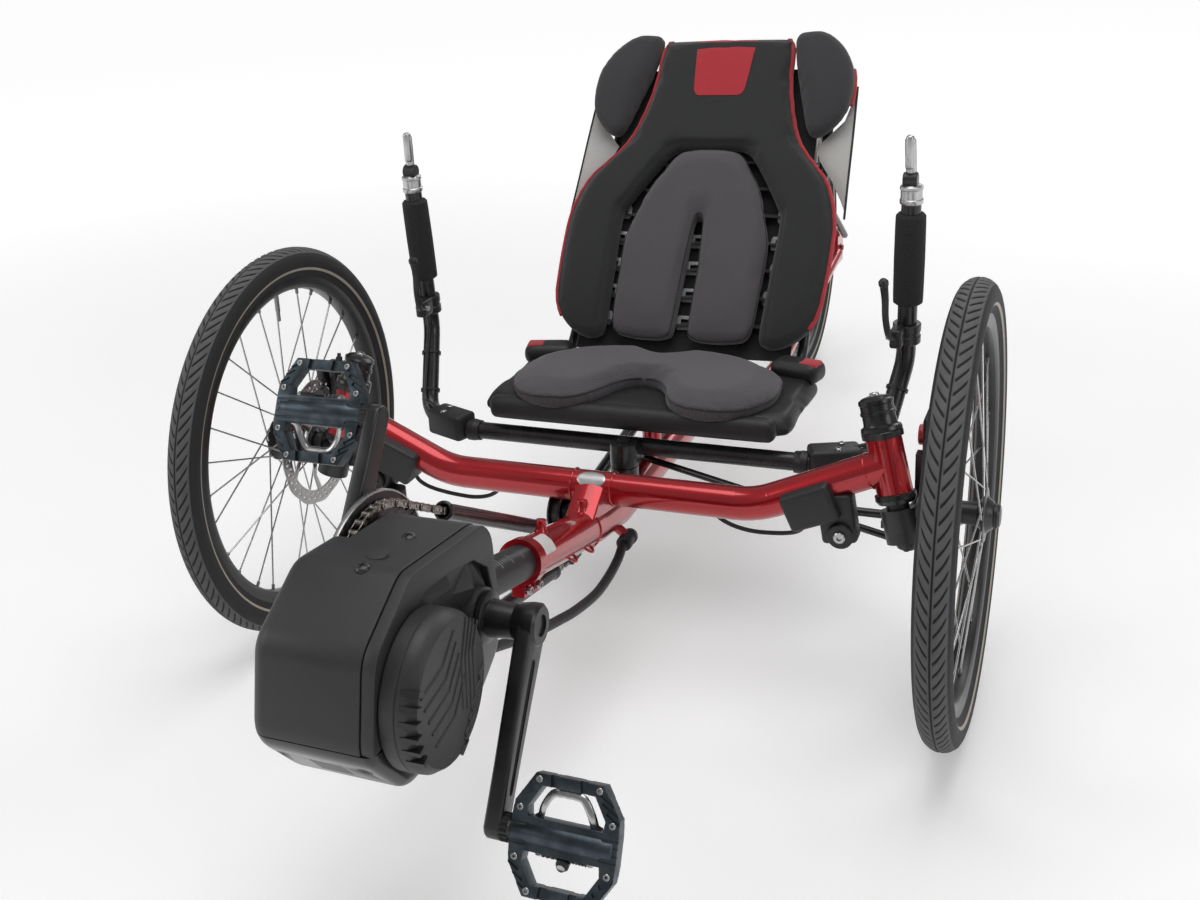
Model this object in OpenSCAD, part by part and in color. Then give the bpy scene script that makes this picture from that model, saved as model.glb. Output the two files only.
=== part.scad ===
// Recumbent tadpole trike with a mid-mounted pedal motor: two steered wheels in
// front, one driven wheel behind, a reclined fabric seat and under-seat steering.
// +Y runs to the back of the trike, +X to the rider's left, +Z up, floor at z = 0.

/* [Wheels] */
// Outside radius of the tyres, 40 mm wide on a 406 mm rim
tyre_r = 243; // [235:1:250]
// Width of a tyre
tyre_w = 38; // [34:1:44]
// Distance between the two front wheels' middle planes
track = 814; // [780:1:840]
// Distance from the front axle line to the rear axle
wheelbase = 1050; // [1000:5:1100]

/* [Frame] */
// Outside diameter of the bent cross tube
cross_d = 38; // [34:1:40]
// Outside diameter of the spine tube
spine_d = 44; // [42:1:46]
// Height of the cross tube's low middle stretch
cross_z = 224; // [218:1:228]
// Slope of the boom, in degrees
boom_slope = 14; // [12:0.5:15]
// Angle by which the cross tube's ends rise, in degrees
cross_rise = 23; // [20:1:25]

/* [Steering] */
// Sideways lean of the kingpins, in degrees
kingpin_lean = 15; // [12:0.5:16]
// Backward lean of the kingpins, in degrees
caster = 12; // [10:0.5:14]
// Distance from the middle plane to each kingpin at hub height
kingpin_x = 340; // [336:1:342]
// Length of the steering arms
arm_l = 60; // [56:1:62]

/* [Drive] */
// Height of the pedal axle
crank_z = 280; // [275:1:285]
// Distance of the pedal axle in front of the front wheels' axle line
crank_reach = 405; // [400:1:410]
// Length of a crank arm
crank_l = 168; // [165:1:170]
// Angle of the lower crank ahead of straight down, in degrees
crank_rest = 35; // [30:1:40]
// Pitch radius of the chainring
ring_r = 89; // [85:1:90]
// Distance from the middle plane to the chain
chain_x = 52; // [51:0.5:53]

/* [Seat] */
// Slope of the seat back, in degrees
back_slope = 52; // [50:1:54]
// Length of the seat back from the crease to its top
back_l = 482; // [470:1:490]
// Half the widest width of the seat back
back_half = 193; // [185:1:195]

/* [Hidden] */
$fn = 48;

red = [0.62, 0.02, 0.06];
black = [0.03, 0.03, 0.035];
dark = [0.09, 0.09, 0.10];
grey = [0.25, 0.24, 0.25];
steel = [0.65, 0.65, 0.66];
slate = [0.16, 0.20, 0.25];

// The box is centred on the origin: the motor's nose is the front, the rear
// tyre the back.
nose_reach = 604;
axle_y = (nose_reach - wheelbase - tyre_r) / 2;
run = 0.1;      // clearance of a turning fit
gap = 0.3;      // clearance of pieces that only touch
weld_gap = 0.2; // half the joint between a straight stretch and a bend
weld_bead = 0.1;

// A point given from the front axle line instead of from the origin
function at(x, y, z) = [x, y + axle_y, z];
function unit(v) = v / norm(v);

// ---------- shapes used by several pieces ----------

// Straight round bar from a to b
module bar(a, b, r) {
    v = b - a;
    translate(a)
        rotate([0, acos(v.z / norm(v)), atan2(v.y, v.x)])
        cylinder(h = norm(v), r = r);
}

// One bend of a pipe: the corner b between a and c, rounded at the given radius.
// A weld bead at each end joins it to the straight stretches, which stop just short.
module pipe_bend(a, b, c, r, bend) {
    u = unit(b - a);
    w = unit(c - b);
    turn = acos(u * w);
    n = unit(cross(u, w));
    out = cross(u, n);
    reach = bend * tan(turn / 2);
    mid = b - u * reach - out * bend;
    short = weld_gap / bend * 57.3;
    multmatrix([[out.x, u.x, n.x, mid.x], [out.y, u.y, n.y, mid.y],
            [out.z, u.z, n.z, mid.z], [0, 0, 0, 1]])
        rotate_extrude(angle = turn - 2 * short, start = short)
        translate([bend, 0]) circle(r = r);
    weld(b - u * reach, u, r);
    weld(b + w * reach, w, r);
}

// Bead around a pipe at p, where the pipe runs along v
module weld(p, v, r) {
    translate(p) rotate([0, acos(v.z), atan2(v.y, v.x)]) rotate(17) sphere(r = r + weld_bead);
}

function trim_of(p, i, bend) = (i == 0 || i == len(p) - 1) ? 0 :
    bend * tan(acos(unit(p[i] - p[i - 1]) * unit(p[i + 1] - p[i])) / 2);

// Bent pipe through the points p, each inner corner rounded at the bend radius
module pipe(p, r, bend) {
    for (i = [0 : len(p) - 2]) {
        u = unit(p[i + 1] - p[i]);
        bar(p[i] + u * (trim_of(p, i, bend) + (i > 0 ? weld_gap : 0)),
            p[i + 1] - u * (trim_of(p, i + 1, bend) + (i < len(p) - 2 ? weld_gap : 0)), r);
    }
    for (i = [1 : len(p) - 2]) pipe_bend(p[i - 1], p[i], p[i + 1], r, bend);
}

// The child drawn on both sides of the middle plane
module both_sides() {
    children();
    mirror([1, 0, 0]) children();
}

// The child's drawing, whose X is the trike's Y and Y is its Z, made a slab
// that runs from x1 to x2
module side_slab(x1, x2) {
    translate([x1, axle_y, 0]) rotate([90, 0, 90]) linear_extrude(x2 - x1) children();
}

// A disc, or with r0 a ring, that turns about the X axis, from x1 to x2
module wheel_disc(x1, x2, r, r0 = 0) {
    translate([x1, 0, 0]) rotate([0, 90, 0]) difference() {
        cylinder(h = x2 - x1, r = r);
        if (r0 > 0) translate([0, 0, -1]) cylinder(h = x2 - x1 + 2, r = r0);
    }
}

// ---------- frame ----------

spine_z = 170;                        // height of the spine under the seat
crank_at = at(0, -crank_reach, crank_z);
// The boom's centre line runs through the point knee and the pedal axle
knee_y = -20;
knee = at(0, knee_y, crank_z - (crank_reach + knee_y) * tan(boom_slope));
boom_dir = [0, -cos(boom_slope), sin(boom_slope)];
sleeve_end = knee + boom_dir * 205;   // front end of the red sleeve
boom_r = 19;
mast_foot = at(0, 436, spine_z);
mast_top = mast_foot + 300 * [0, cos(back_slope), sin(back_slope)];

// The kingpin of the +X side: hub is its point at hub height, up its direction
hub = at(kingpin_x, 0, tyre_r);
up = unit([-tan(kingpin_lean), tan(caster), 1]);
function on_pin(z) = hub + up * ((z - tyre_r) / up.z);
head_low = 256;
head_high = 312;
head_r = 19;
pin_r = 12;

cross_top = on_pin(284);                // where the cross tube meets the kingpin
cross_bend_x = cross_top.x - (cross_top.z - cross_z) / tan(cross_rise);

module cross_tube() {
    pipe([[-cross_top.x, cross_top.y, cross_top.z], at(-cross_bend_x, 0, cross_z),
        at(cross_bend_x, 0, cross_z), cross_top], cross_d / 2, 110);
}

// A threaded post that stands on the sleeve, d along the boom from the knee
module boom_post(d) {
    foot = knee + boom_dir * d + [0, sin(boom_slope), cos(boom_slope)] * (spine_d / 2 - 2);
    bar(foot, foot + [0, sin(boom_slope), cos(boom_slope)] * 14, 5);
}

post_places = [30, 150];

module frame() {
    color(red) difference() {
        union() {
            cross_tube();
            both_sides() bar(on_pin(head_low), on_pin(head_high), head_r);
            pipe([sleeve_end, knee, at(0, 60, spine_z), at(0, 470, spine_z)],
                spine_d / 2, 90);
            // Gusset between the spine and the cross tube
            side_slab(-16, 16) polygon([[-75, 192], [-8, cross_z + 12], [12, cross_z + 8],
                [44, spine_z + 18], [44, spine_z], [-60, knee.z - 10]]);
            // Collar and clamp lugs at the sleeve's mouth
            bar(sleeve_end - boom_dir * 16, sleeve_end, spine_d / 2 + 2.5);
            for (d = [8, 34]) side_slab(-7, 7) translate([
                sleeve_end.y - axle_y - boom_dir.y * d, sleeve_end.z - boom_dir.z * d])
                rotate(-boom_slope) translate([-8, -spine_d / 2 - 14]) square([16, 18]);
            for (d = post_places) boom_post(d);
            pipe([mast_foot, mast_top], 15, 20);
            // Yoke that carries the rear stays
            bar(at(-62, 445, spine_z), at(62, 445, spine_z), 14);
            // Saddle under the seat frame's middle cross bar
            bar(at(0, 205, spine_z), at(0, 205, rail_z - 7), 12);
            // Brackets that carry the battery's rail
            for (d = [165, 245]) back_slab(-170, -150.5 - gap) translate([-11, d]) square([22, 26]);
            // Plug of the motor cables on its bracket, and stops of the brake cables
            bar(at(loom_route[0].x, loom_route[0].y + 2.2, loom_route[0].z),
                at(loom_route[0].x, 36, loom_route[0].z), 8);
            bar(at(27, 26, 152), at(8, 26, 168), 6);
            both_sides() side_slab(127, 135) polygon([[19, 204.5], [29, 204.5], [29, 212],
                [12, 222], [2, 220], [2, 212]]);
        }
        // Bore of the sleeve, which holds the boom
        bar(sleeve_end - boom_dir * 170, sleeve_end + boom_dir * 5, boom_r + run);
        for (d = post_places) {
            foot = knee + boom_dir * d;
            bar(foot + [0, sin(boom_slope), cos(boom_slope)] * (spine_d / 2 + 1),
                foot + [0, sin(boom_slope), cos(boom_slope)] * (spine_d / 2 + 20), 2.5);
        }
        both_sides() bar(on_pin(head_low - 20), on_pin(head_high + 20), pin_r + run);
    }
}

module boom() {
    shell_end = crank_at + [0, 40, -40 * tan(boom_slope)];
    color(black) bar(sleeve_end - boom_dir * 150, shell_end, boom_r);
}

module headset_cups() {
    color(black) both_sides() {
        difference() {
            union() {
                bar(on_pin(head_high + gap), on_pin(head_high + 14), 21);
                bar(on_pin(head_high + 13), on_pin(head_high + 34), 17);
                bar(on_pin(head_high + 33), on_pin(head_high + 44), 16);
            }
            bar(on_pin(head_high - 5), on_pin(head_high + 24), pin_r + run);
        }
        difference() {
            bar(on_pin(head_low - 11), on_pin(head_low - gap), 21);
            bar(on_pin(head_low - 20), on_pin(head_low + 5), pin_r + run);
        }
    }
}

// ---------- motor ----------

motor_at = at(0, -528, 282);
split_z = 262;

// Side outline of the motor's housing, drawn in by the given inset
module motor_outline(inset) {
    hull() for (p = [[-402, 332], [-512, 345], [-560, 318], [-572, 268], [-540, 232],
            [-440, 226], [-398, 250]])
        translate(p) circle(r = 32 - inset, $fn = 32);
}

motor_front_w = 66; // the case reaches this far to -X in front of the chainring
ring_bay_r = 108;   // and is cut back round the chainring

module motor_shell(z1, z2) {
    difference() {
        intersection() {
            difference() {
                side_slab(-motor_front_w, 48) motor_outline(0);
                translate(crank_at) wheel_disc(-90, -42, ring_bay_r);
            }
            translate([-90, axle_y - 650, z1]) cube([160, 300, z2 - z1]);
        }
        difference() {
            side_slab(4 - motor_front_w, 44) motor_outline(4);
            translate(crank_at) wheel_disc(-90, -38, ring_bay_r + 4);
        }
        translate(motor_at) wheel_disc(40, 60, 30 + gap);
        // Openings for the pedal axle and the boom
        translate(crank_at) wheel_disc(-60, 60, 27);
        bar(crank_at, sleeve_end, boom_r + 3);
    }
}

module motor_cover() {
    color(dark) motor_shell(split_z + gap / 2, 400);
}

module motor_lower_shell() {
    color(black) motor_shell(150, split_z - gap / 2);
}

module motor_block() {
    color(dark) difference() {
        union() {
            translate(motor_at) wheel_disc(-36, 42, 56);
            translate(crank_at) wheel_disc(-40, 50, 26);
            translate(at(-34, -530, 244)) cube([72, 128, 62]);
            // Plate that joins the motor to the side cover
            translate(motor_at) wheel_disc(42, 49.7, 30);
        }
        translate(crank_at) wheel_disc(-60, 60, 12 + run);
        bar(crank_at + [0, 40, -40 * tan(boom_slope)], sleeve_end, boom_r);
    }
}

module motor_side_cover() {
    color(dark) difference() {
        translate(motor_at) {
            wheel_disc(50, 74, 66);
            wheel_disc(74, 80, 60);
        }
        translate(crank_at) wheel_disc(40, 90, 30);
    }
}

// ---------- cranks and pedals ----------

crank_in = 88;      // inner face of the crank arms
crank_t = 15;
pedal_x = 158;      // middle of a pedal
crank_dir = [0, -sin(crank_rest), -cos(crank_rest)];
pedal_at = crank_at + crank_dir * crank_l;    // the +X, lower, pedal's axle line

module crank_arm() {
    translate(crank_at + [crank_in, 0, 0]) rotate([-crank_rest, 0, 0])
        rotate([0, 90, 0]) difference() {
            union() {
                cylinder(h = crank_t + 2, r = 17);
                translate([crank_l, 0, 0]) cylinder(h = crank_t, r = 13);
                translate([0, 0, 1]) linear_extrude(crank_t - 2)
                    polygon([[0, -15.5], [crank_l, -12.5], [crank_l, 12.5], [0, 15.5]]);
            }
            translate([0, 0, crank_t]) cylinder(h = 5, r = 9);
        }
    bar(pedal_at + [crank_in + crank_t - 2, 0, 0], pedal_at + [pedal_x + 40, 0, 0], 4);
    bar(pedal_at + [crank_in + crank_t - 2, 0, 0], pedal_at + [crank_in + crank_t + 4, 0, 0], 8);
}

module other_crank() {
    translate(crank_at) rotate([180, 0, 0]) mirror([1, 0, 0]) translate(-crank_at) children();
}

module crankset() {
    color(black) {
        translate(crank_at) wheel_disc(-crank_in - 5, crank_in + 5, 12);
        crank_arm();
        other_crank() crank_arm();
    }
}

module chainring() {
    color(black) translate(crank_at) {
        wheel_disc(-chain_x - 1.2, -chain_x + 1.2, ring_r - 5.2, 66);
        wheel_disc(-chain_x - 9, -chain_x - 7, 100, 60);
        for (a = [0 : 72 : 359]) rotate([a, 0, 0]) {
            translate([-chain_x - 7.2, -9, 14]) cube([4, 18, 54]);
            translate([-chain_x - 7.2, -9, 64]) cube([8, 18, 8]);
        }
        difference() {
            wheel_disc(-chain_x - 9, -chain_x + 2, 22);
            wheel_disc(-chain_x - 20, -chain_x + 20, 12 + run);
        }
    }
}

// Cage pedal on its spindle, drawn flat about its own middle
module pedal_body() {
    difference() {
        union() {
            difference() {
                linear_extrude(15, center = true) polygon([[-46, -24], [-30, -50], [30, -50],
                    [46, -24], [46, 24], [30, 50], [-30, 50], [-46, 24]]);
                linear_extrude(20, center = true) {
                    polygon([[-33, -14], [-33, -22], [-24, -39], [24, -39], [33, -22], [33, -14]]);
                    polygon([[-33, 14], [-33, 22], [-24, 39], [24, 39], [33, 22], [33, 14]]);
                }
            }
            translate([-50, 0, 0]) rotate([0, 90, 0]) cylinder(h = 92, r = 10);
        }
        translate([-60, 0, 0]) rotate([0, 90, 0]) cylinder(h = 101, r = 4 + run);
    }
}

module right_pedal() {
    color(slate) other_crank() left_pedal_place() pedal_body();
}

module left_pedal_place() {
    translate(pedal_at + [pedal_x, 0, 0]) rotate([62, 0, 0]) children();
}

module left_pedal() {
    color(slate) left_pedal_place() pedal_body();
}

// ---------- chain ----------

// The chain's wheels in its own plane, X back and Y up: centre and pitch radius.
// The radius is negative where the chain turns clockwise.
cassette_r = 30;
pulley_r = 22;
idler = [14, 181];
idler_r = 24;
return_roller = [30, 122];
return_r = 14;
guide_pulley = [1062, 168];
tension_pulley = [1036, 112];
chain_wheels = [
    [[-crank_reach, crank_z], -ring_r], [idler, idler_r],
    [[wheelbase, tyre_r], -cassette_r], [guide_pulley, pulley_r],
    [tension_pulley, -pulley_r], [return_roller, -return_r]];

function heading(a, b) = let (d = b[0] - a[0])
    atan2(d.y, d.x) + asin((a[1] - b[1]) / norm(d));
function wrap_end(from, to, r) = r < 0 ? from - ((from - to) % 360 + 360) % 360
    : from + ((to - from) % 360 + 360) % 360;
function rim_point(w, h, angle) = w[0] + (w[1] + h) * [sin(angle), -cos(angle)];

// Points of the chain's loop, h to the right of its middle line
function chain_line(h) = let (n = len(chain_wheels)) [
    for (i = [0 : n - 1]) let (
        w = chain_wheels[i],
        into = heading(chain_wheels[(i + n - 1) % n], w),
        out = wrap_end(into, heading(w, chain_wheels[(i + 1) % n]), w[1]),
        steps = max(2, ceil(abs(out - into) / 9)))
    for (k = [0 : steps]) rim_point(w, h, into + (out - into) * k / steps)];

module chain() {
    color(steel) side_slab(-chain_x - 3, -chain_x + 3) difference() {
        polygon(chain_line(-4.2));
        polygon(chain_line(4.2));
    }
}

// Ends of the straight run from wheel i to the next
function run_start(i) = let (a = chain_wheels[i], b = chain_wheels[(i + 1) % 6])
    rim_point(a, 0, heading(a, b));
function run_stop(i) = let (a = chain_wheels[i], b = chain_wheels[(i + 1) % 6])
    rim_point(b, 0, heading(a, b));
function in_chain_plane(p) = at(-chain_x, p.x, p.y);

// Tube around run i, between the parts t1 and t2 of its length
module chain_tube(i, t1, t2) {
    a = in_chain_plane(run_start(i));
    b = in_chain_plane(run_stop(i));
    difference() {
        bar(a + (b - a) * t1, a + (b - a) * t2, 8.5);
        bar(a + (b - a) * (t1 - 0.01), a + (b - a) * (t2 + 0.01), 6.6);
    }
}

module chain_tubes() {
    color(black) {
        chain_tube(0, 0.24, 0.86);
        chain_tube(1, 0.1, 0.62);
        chain_tube(4, 0.32, 0.93);
        chain_tube(5, 0.1, 0.8);
    }
}

module chain_idler() {
    color(black) difference() {
        union() {
            translate(in_chain_plane(idler)) wheel_disc(-7, 7, idler_r - 4.7);
            translate(in_chain_plane(return_roller)) wheel_disc(-7, 7, return_r - 4.7);
            // Plate that hangs both wheels from the spine
            side_slab(-chain_x + 7, -chain_x + 12) polygon([[2, 190], [44, 184],
                [44, 110], [16, 110]]);
            bar(in_chain_plane([32, 170]) + [10, 0, 0], in_chain_plane([32, 170]) + [46, 0, 0], 8);
        }
        bar(at(0, 0, spine_z), at(0, 60, spine_z), spine_d / 2 + 3 * gap);
    }
}

// ---------- clamp blocks on the cross tube ----------

module clamp_block() {
    translate(at(252, 0, 0)) difference() {
        union() {
            translate([0, -5, 238]) rotate([0, -cross_rise, 0]) cube([56, 46, 42], center = true);
            translate([8, -16, 196]) cube([38, 26, 56], center = true);
        }
        translate([-252, -axle_y, 0]) cross_tube();
    }
}

module clamp_blocks() {
    color(dark) both_sides() clamp_block();
    color(black) bar(at(-258, -14, 120), at(-258, -14, 168), 14);
}

// ---------- steering ----------

bar_pivot = at(0, 100, 0);
bar_z = 226;
bar_r = 11;
arm_z = 214;        // underside of the steering arms

// Turning post on the spine that carries the handlebar
module handlebar_post() {
    color(black) difference() {
        bar(bar_pivot + [0, 0, spine_z], bar_pivot + [0, 0, 210], 17);
        bar(at(0, 60, spine_z), at(0, 140, spine_z), spine_d / 2);
        bar(bar_pivot + [0, 0, 196], bar_pivot + [0, 0, 220], 8 + run);
    }
}

drag_bar_end = at(-12, 154, 203);

module handlebar() {
    color(black) {
        // Middle bar and its stem
        bar(at(-226, 125, bar_z), at(226, 125, bar_z), bar_r);
        bar(bar_pivot + [0, 0, 197], bar_pivot + [0, 0, 244], 8);
        bar(bar_pivot + [0, 0, 211], bar_pivot + [0, 0, 240], 17);
        translate(at(-17, 100, 213)) cube([34, 26, 24]);
        // Arm for the drag link
        bar(at(-5, 125, 219), drag_bar_end + [0, 0, 16], 6);
        bar(drag_bar_end - drag_pin * 7, drag_bar_end + drag_pin * 19, 4);
        // Uprights
        both_sides() pipe([at(240, 128, 232), at(292, 152, 228), at(312, 218, 330),
            at(316, 206, 520)], bar_r, 38);
    }
}

module bar_joint_blocks() {
    color(dark) both_sides() difference() {
        translate(at(248, 130, 231)) rotate([0, 0, 22]) cube([60, 34, 34], center = true);
        pipe([at(200, 125, bar_z), at(226, 125, bar_z)], bar_r, 10);
        pipe([at(240, 128, 232), at(292, 152, 228), at(312, 218, 330)], bar_r, 38);
    }
}

upright_low = at(312, 218, 330);
upright_high = at(316, 206, 520);

// A point of the +X upright at height z
function on_upright(z) = upright_low
    + (upright_high - upright_low) * (z - upright_low.z) / (upright_high.z - upright_low.z);

grip_low = on_upright(400);
grip_high = on_upright(508);

module grips() {
    color(black) both_sides() difference() {
        bar(grip_low, grip_high, 16.5);
        bar(on_upright(390), on_upright(515), bar_r + run);
    }
}

// Brake lever with its clamp and blade below each grip
module brake_levers() {
    color(black) both_sides() {
        difference() {
            bar(on_upright(352), on_upright(376), 16);
            bar(on_upright(340), on_upright(390), bar_r + run);
        }
        pipe([at(310, 198, 364), at(300, 168, 372), at(296, 156, 440)], 5, 12);
        bar(at(308, 200, 364), at(304, 182, 368), 9);
    }
}

module bar_end_levers() {
    color(steel) both_sides() {
        bar(at(316, 206, 521), at(316, 205, 540), 12);
        bar(at(316, 205, 540), at(314, 200, 596), 5);
        translate(at(308, 196, 560)) cube([13, 8, 42]);
    }
}

// Steering knuckle of the +X side: kingpin, body, stub axle and steering arm
pin_low = 208;
arm_x = 332;
tie_z = 202;
tie_r = 5;
tie_eye = at(arm_x, arm_l, tie_z);
// Direction of the tie rod's bolt, close to the kingpin's
tie_pin = unit([-0.2533, 0.1531, 0.9552]);
drag_eye = at(345, 33.9, 184);

module knuckle(drag) {
    bar(on_pin(pin_low), on_pin(head_high + 22), pin_r);
    bar(on_pin(pin_low - 2), on_pin(head_low - 16), 19);
    // Boss and stub axle
    bar(at(346, 0, 226), at(364, 0, 236), 10);
    bar(at(360, 0, tyre_r), at(369.5, 0, tyre_r), 13);
    bar(at(362, 0, tyre_r), at(430, 0, tyre_r), 6);
    // Steering arm and its bolts
    translate(at(323, 0, arm_z)) cube([18, arm_l + 9, 8]);
    bar(tie_eye - tie_pin * 12, tie_eye + tie_pin * 16, 3);
    if (drag) {
        translate(at(334, 20, arm_z + 0.7)) cube([22, 26, 6.5]);
        bar(drag_eye - [0, 0, 10], drag_eye + [0, 0, arm_z - drag_eye.z + 4], 3);
    }
    // Bracket of the brake caliper
    translate(at(352, -2, 226)) cube([7, 50, 16]);
    translate(at(352, 34, 226)) cube([7, 14, 62]);
}

module left_knuckle() {
    color(black) knuckle(true);
}

module right_knuckle() {
    color(black) mirror([1, 0, 0]) knuckle(false);
}

disc_x = 372;       // middle plane of the brake discs
disc_r = 80;

module caliper() {
    difference() {
        translate(at(358, 36, 272)) cube([30, 42, 56]);
        translate([0, axle_y, tyre_r]) wheel_disc(disc_x - 2.5, disc_x + 2.5, disc_r + 3);
        translate([0, axle_y, tyre_r]) wheel_disc(364, 380, 60);
        translate(at(340, 30, 220)) cube([19.3, 22, 68]);
    }
}

module left_caliper() {
    color(dark) caliper();
}

module right_caliper() {
    color(dark) mirror([1, 0, 0]) caliper();
}

module rod_eye(p, v, bore) {
    difference() {
        bar(p - v * 5, p + v * 5, 10);
        bar(p - v * 20, p + v * 20, bore);
    }
}

module tie_rod() {
    color(black) {
        bar(at(-arm_x + 7, arm_l, tie_z), at(arm_x - 7, arm_l, tie_z), tie_r);
        rod_eye(tie_eye, tie_pin, 3 + run);
        // The far eye is open: its bolt has play in it
        rod_eye([-tie_eye.x, tie_eye.y, tie_eye.z], [-tie_pin.x, tie_pin.y, tie_pin.z], 6.5);
    }
}

drag_pin = unit([0.0366, -0.0443, 1]);

module drag_link() {
    v = unit(drag_eye - drag_bar_end);
    color(black) {
        bar(drag_bar_end + v * 6.5, drag_eye - v * 7.5, 4.3);
        rod_eye(drag_bar_end, drag_pin, 4 + run);
        rod_eye(drag_eye, drag_pin, 5.2);
    }
}

// ---------- wheels ----------

spokes = 28;
rim_r = 207;
rim_in = 191;
rim_half = 12.5;

// Rim, spokes and hub as one wheel about the X axis; the bore takes its axle
module wheel_body(half_hub, bore_r, through) {
    difference() {
        union() {
            rotate([0, 90, 0]) rotate_extrude($fn = 120) polygon([[rim_in, -6],
                [rim_in + 4, -rim_half], [rim_r, -rim_half], [rim_r, -rim_half + 2.5],
                [rim_in + 7, -8], [rim_in + 7, 8], [rim_r, rim_half - 2.5],
                [rim_r, rim_half], [rim_in + 4, rim_half], [rim_in, 6]]);
            wheel_disc(-half_hub, half_hub, 16);
            for (s = [-1, 1]) translate([s * (half_hub - 9), 0, 0]) wheel_disc(-1.5, 1.5, 29);
            for (i = [0 : spokes - 1]) let (
                side = i % 2 == 0 ? -1 : 1,
                turn = (floor(i / 2) % 2 == 0 ? 60 : -60),
                a = i * 360 / spokes)
                bar([side * (half_hub - 9), 26 * cos(a + turn), 26 * sin(a + turn)],
                    [side * 1.5, (rim_in + 2) * cos(a), (rim_in + 2) * sin(a)], 1.1, $fn = 16);
        }
        translate([-half_hub - 1, 0, 0]) rotate([0, 90, 0])
            cylinder(h = through ? 2 * half_hub + 2 : 2 * half_hub - 2, r = bore_r);
    }
}

module tyre() {
    section_r = tyre_w / 2;
    rotate([0, 90, 0]) rotate_extrude($fn = 160) difference() {
        translate([tyre_r - section_r, 0]) circle(r = section_r);
        translate([tyre_r - section_r, 0]) circle(r = section_r - 4);
        translate([rim_r - 40, -30]) square([40, 60]);
    }
}

module brake_disc() {
    difference() {
        wheel_disc(-1, 1, disc_r, 62);
        for (a = [0 : 30 : 359]) rotate([a, 0, 0]) translate([-3, 0, 71])
            rotate([0, 90, 0]) cylinder(h = 6, r = 3, $fn = 20);
    }
    for (a = [0 : 60 : 359]) rotate([a, 0, 0]) translate([-0.9, -4, 20]) cube([1.8, 8, 44]);
    wheel_disc(-1, 5, 24, 16);
}

front_wheel = at(track / 2, 0, tyre_r);
rear_wheel_at = at(0, wheelbase, tyre_r);

module left_wheel() {
    color(steel) translate(front_wheel) wheel_body(29, 6 + run, false);
}

module right_wheel() {
    color(steel) mirror([1, 0, 0]) translate(front_wheel) wheel_body(29, 6 + run, false);
}

module left_tyre() {
    color(dark) translate(front_wheel) tyre();
}

module right_tyre() {
    color(dark) mirror([1, 0, 0]) translate(front_wheel) tyre();
}

module left_brake_disc() {
    color(steel) translate(at(disc_x, 0, tyre_r)) brake_disc();
}

module right_brake_disc() {
    color(steel) mirror([1, 0, 0]) translate(at(disc_x, 0, tyre_r)) brake_disc();
}

module rear_wheel() {
    color(steel) translate(rear_wheel_at) wheel_body(30, 5 + run, true);
}

module rear_tyre() {
    color(dark) translate(rear_wheel_at) tyre();
}

cog_radii = [24, 25, 33, 41, 48];

module cassette() {
    color(steel) translate(rear_wheel_at) difference() {
        union() {
            wheel_disc(-57, -30, 16);
            for (i = [0 : len(cog_radii) - 1])
                wheel_disc(-57 + 5.5 * i, -55.2 + 5.5 * i, cog_radii[i]);
        }
        wheel_disc(-80, 0, 5 + run);
    }
}

// ---------- rear frame, gears and battery ----------

drop_x = 68;

module rear_frame() {
    color(red) {
        difference() {
            both_sides() {
                pipe([at(56, 452, spine_z), at(drop_x, 640, 176), at(drop_x, wheelbase - 12, tyre_r - 8)],
                    9.5, 80);
                translate(at(drop_x - 3, wheelbase - 22, tyre_r - 26)) cube([6, 44, 62]);
            }
            bar(at(-62, 445, spine_z), at(62, 445, spine_z), 14 + gap);
            both_sides() bar(at(drop_x - 10, wheelbase + 10, tyre_r + 26),
                at(drop_x + 10, wheelbase + 10, tyre_r + 26), 2.5);
        }
        bar(at(-drop_x - 8, wheelbase, tyre_r), at(drop_x + 8, wheelbase, tyre_r), 5);
    }
}

module derailleur() {
    color(black) {
        for (p = [guide_pulley, tension_pulley])
            translate(in_chain_plane(p)) wheel_disc(-2, 2, pulley_r - 4.7);
        for (x = [-7, 5]) side_slab(-chain_x + x, -chain_x + x + 2) hull() {
            translate(guide_pulley) circle(r = 10, $fn = 24);
            translate(tension_pulley) circle(r = 10, $fn = 24);
        }
        for (p = [guide_pulley, tension_pulley])
            translate(in_chain_plane(p)) wheel_disc(-7, 7, 4);
        bar(in_chain_plane(guide_pulley) + [-7, 4, 0], at(-drop_x - 8, wheelbase + 14, 206), 9);
        bar(at(-drop_x - 8, wheelbase + 14, 206), at(-drop_x - 8, wheelbase + 14, 224), 4.5);
        bar(at(-drop_x - 13, wheelbase + 14, 224), at(-drop_x - 3 - gap, wheelbase + 14, 224), 6);
    }
}

// The seat back's plane: d along the slope from the crease, out in front of it
crease = at(0, 306, 290);
back_dir = [0, cos(back_slope), sin(back_slope)];
back_out = [0, -sin(back_slope), cos(back_slope)];
function on_back(x, d, out) = crease + [x, 0, 0] + back_dir * d + back_out * out;

// Draws its flat child on the seat back, between the depths z1 and z2
module back_slab(z1, z2) {
    translate(crease + back_out * z1) rotate([back_slope, 0, 0])
        linear_extrude(z2 - z1) children();
}

module battery() {
    color(dark) {
        difference() {
            back_slab(-146, -56) translate([-45, 120]) square([90, 310]);
            back_slab(-60, -40) translate([-14, 250]) square([28, 60]);
        }
        back_slab(-150.5, -146) translate([-12, 150]) square([24, 200]);
    }
}

// ---------- seat ----------

side_x = 160;
rail_z = 250;     // height of the rails under the seat pad

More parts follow.
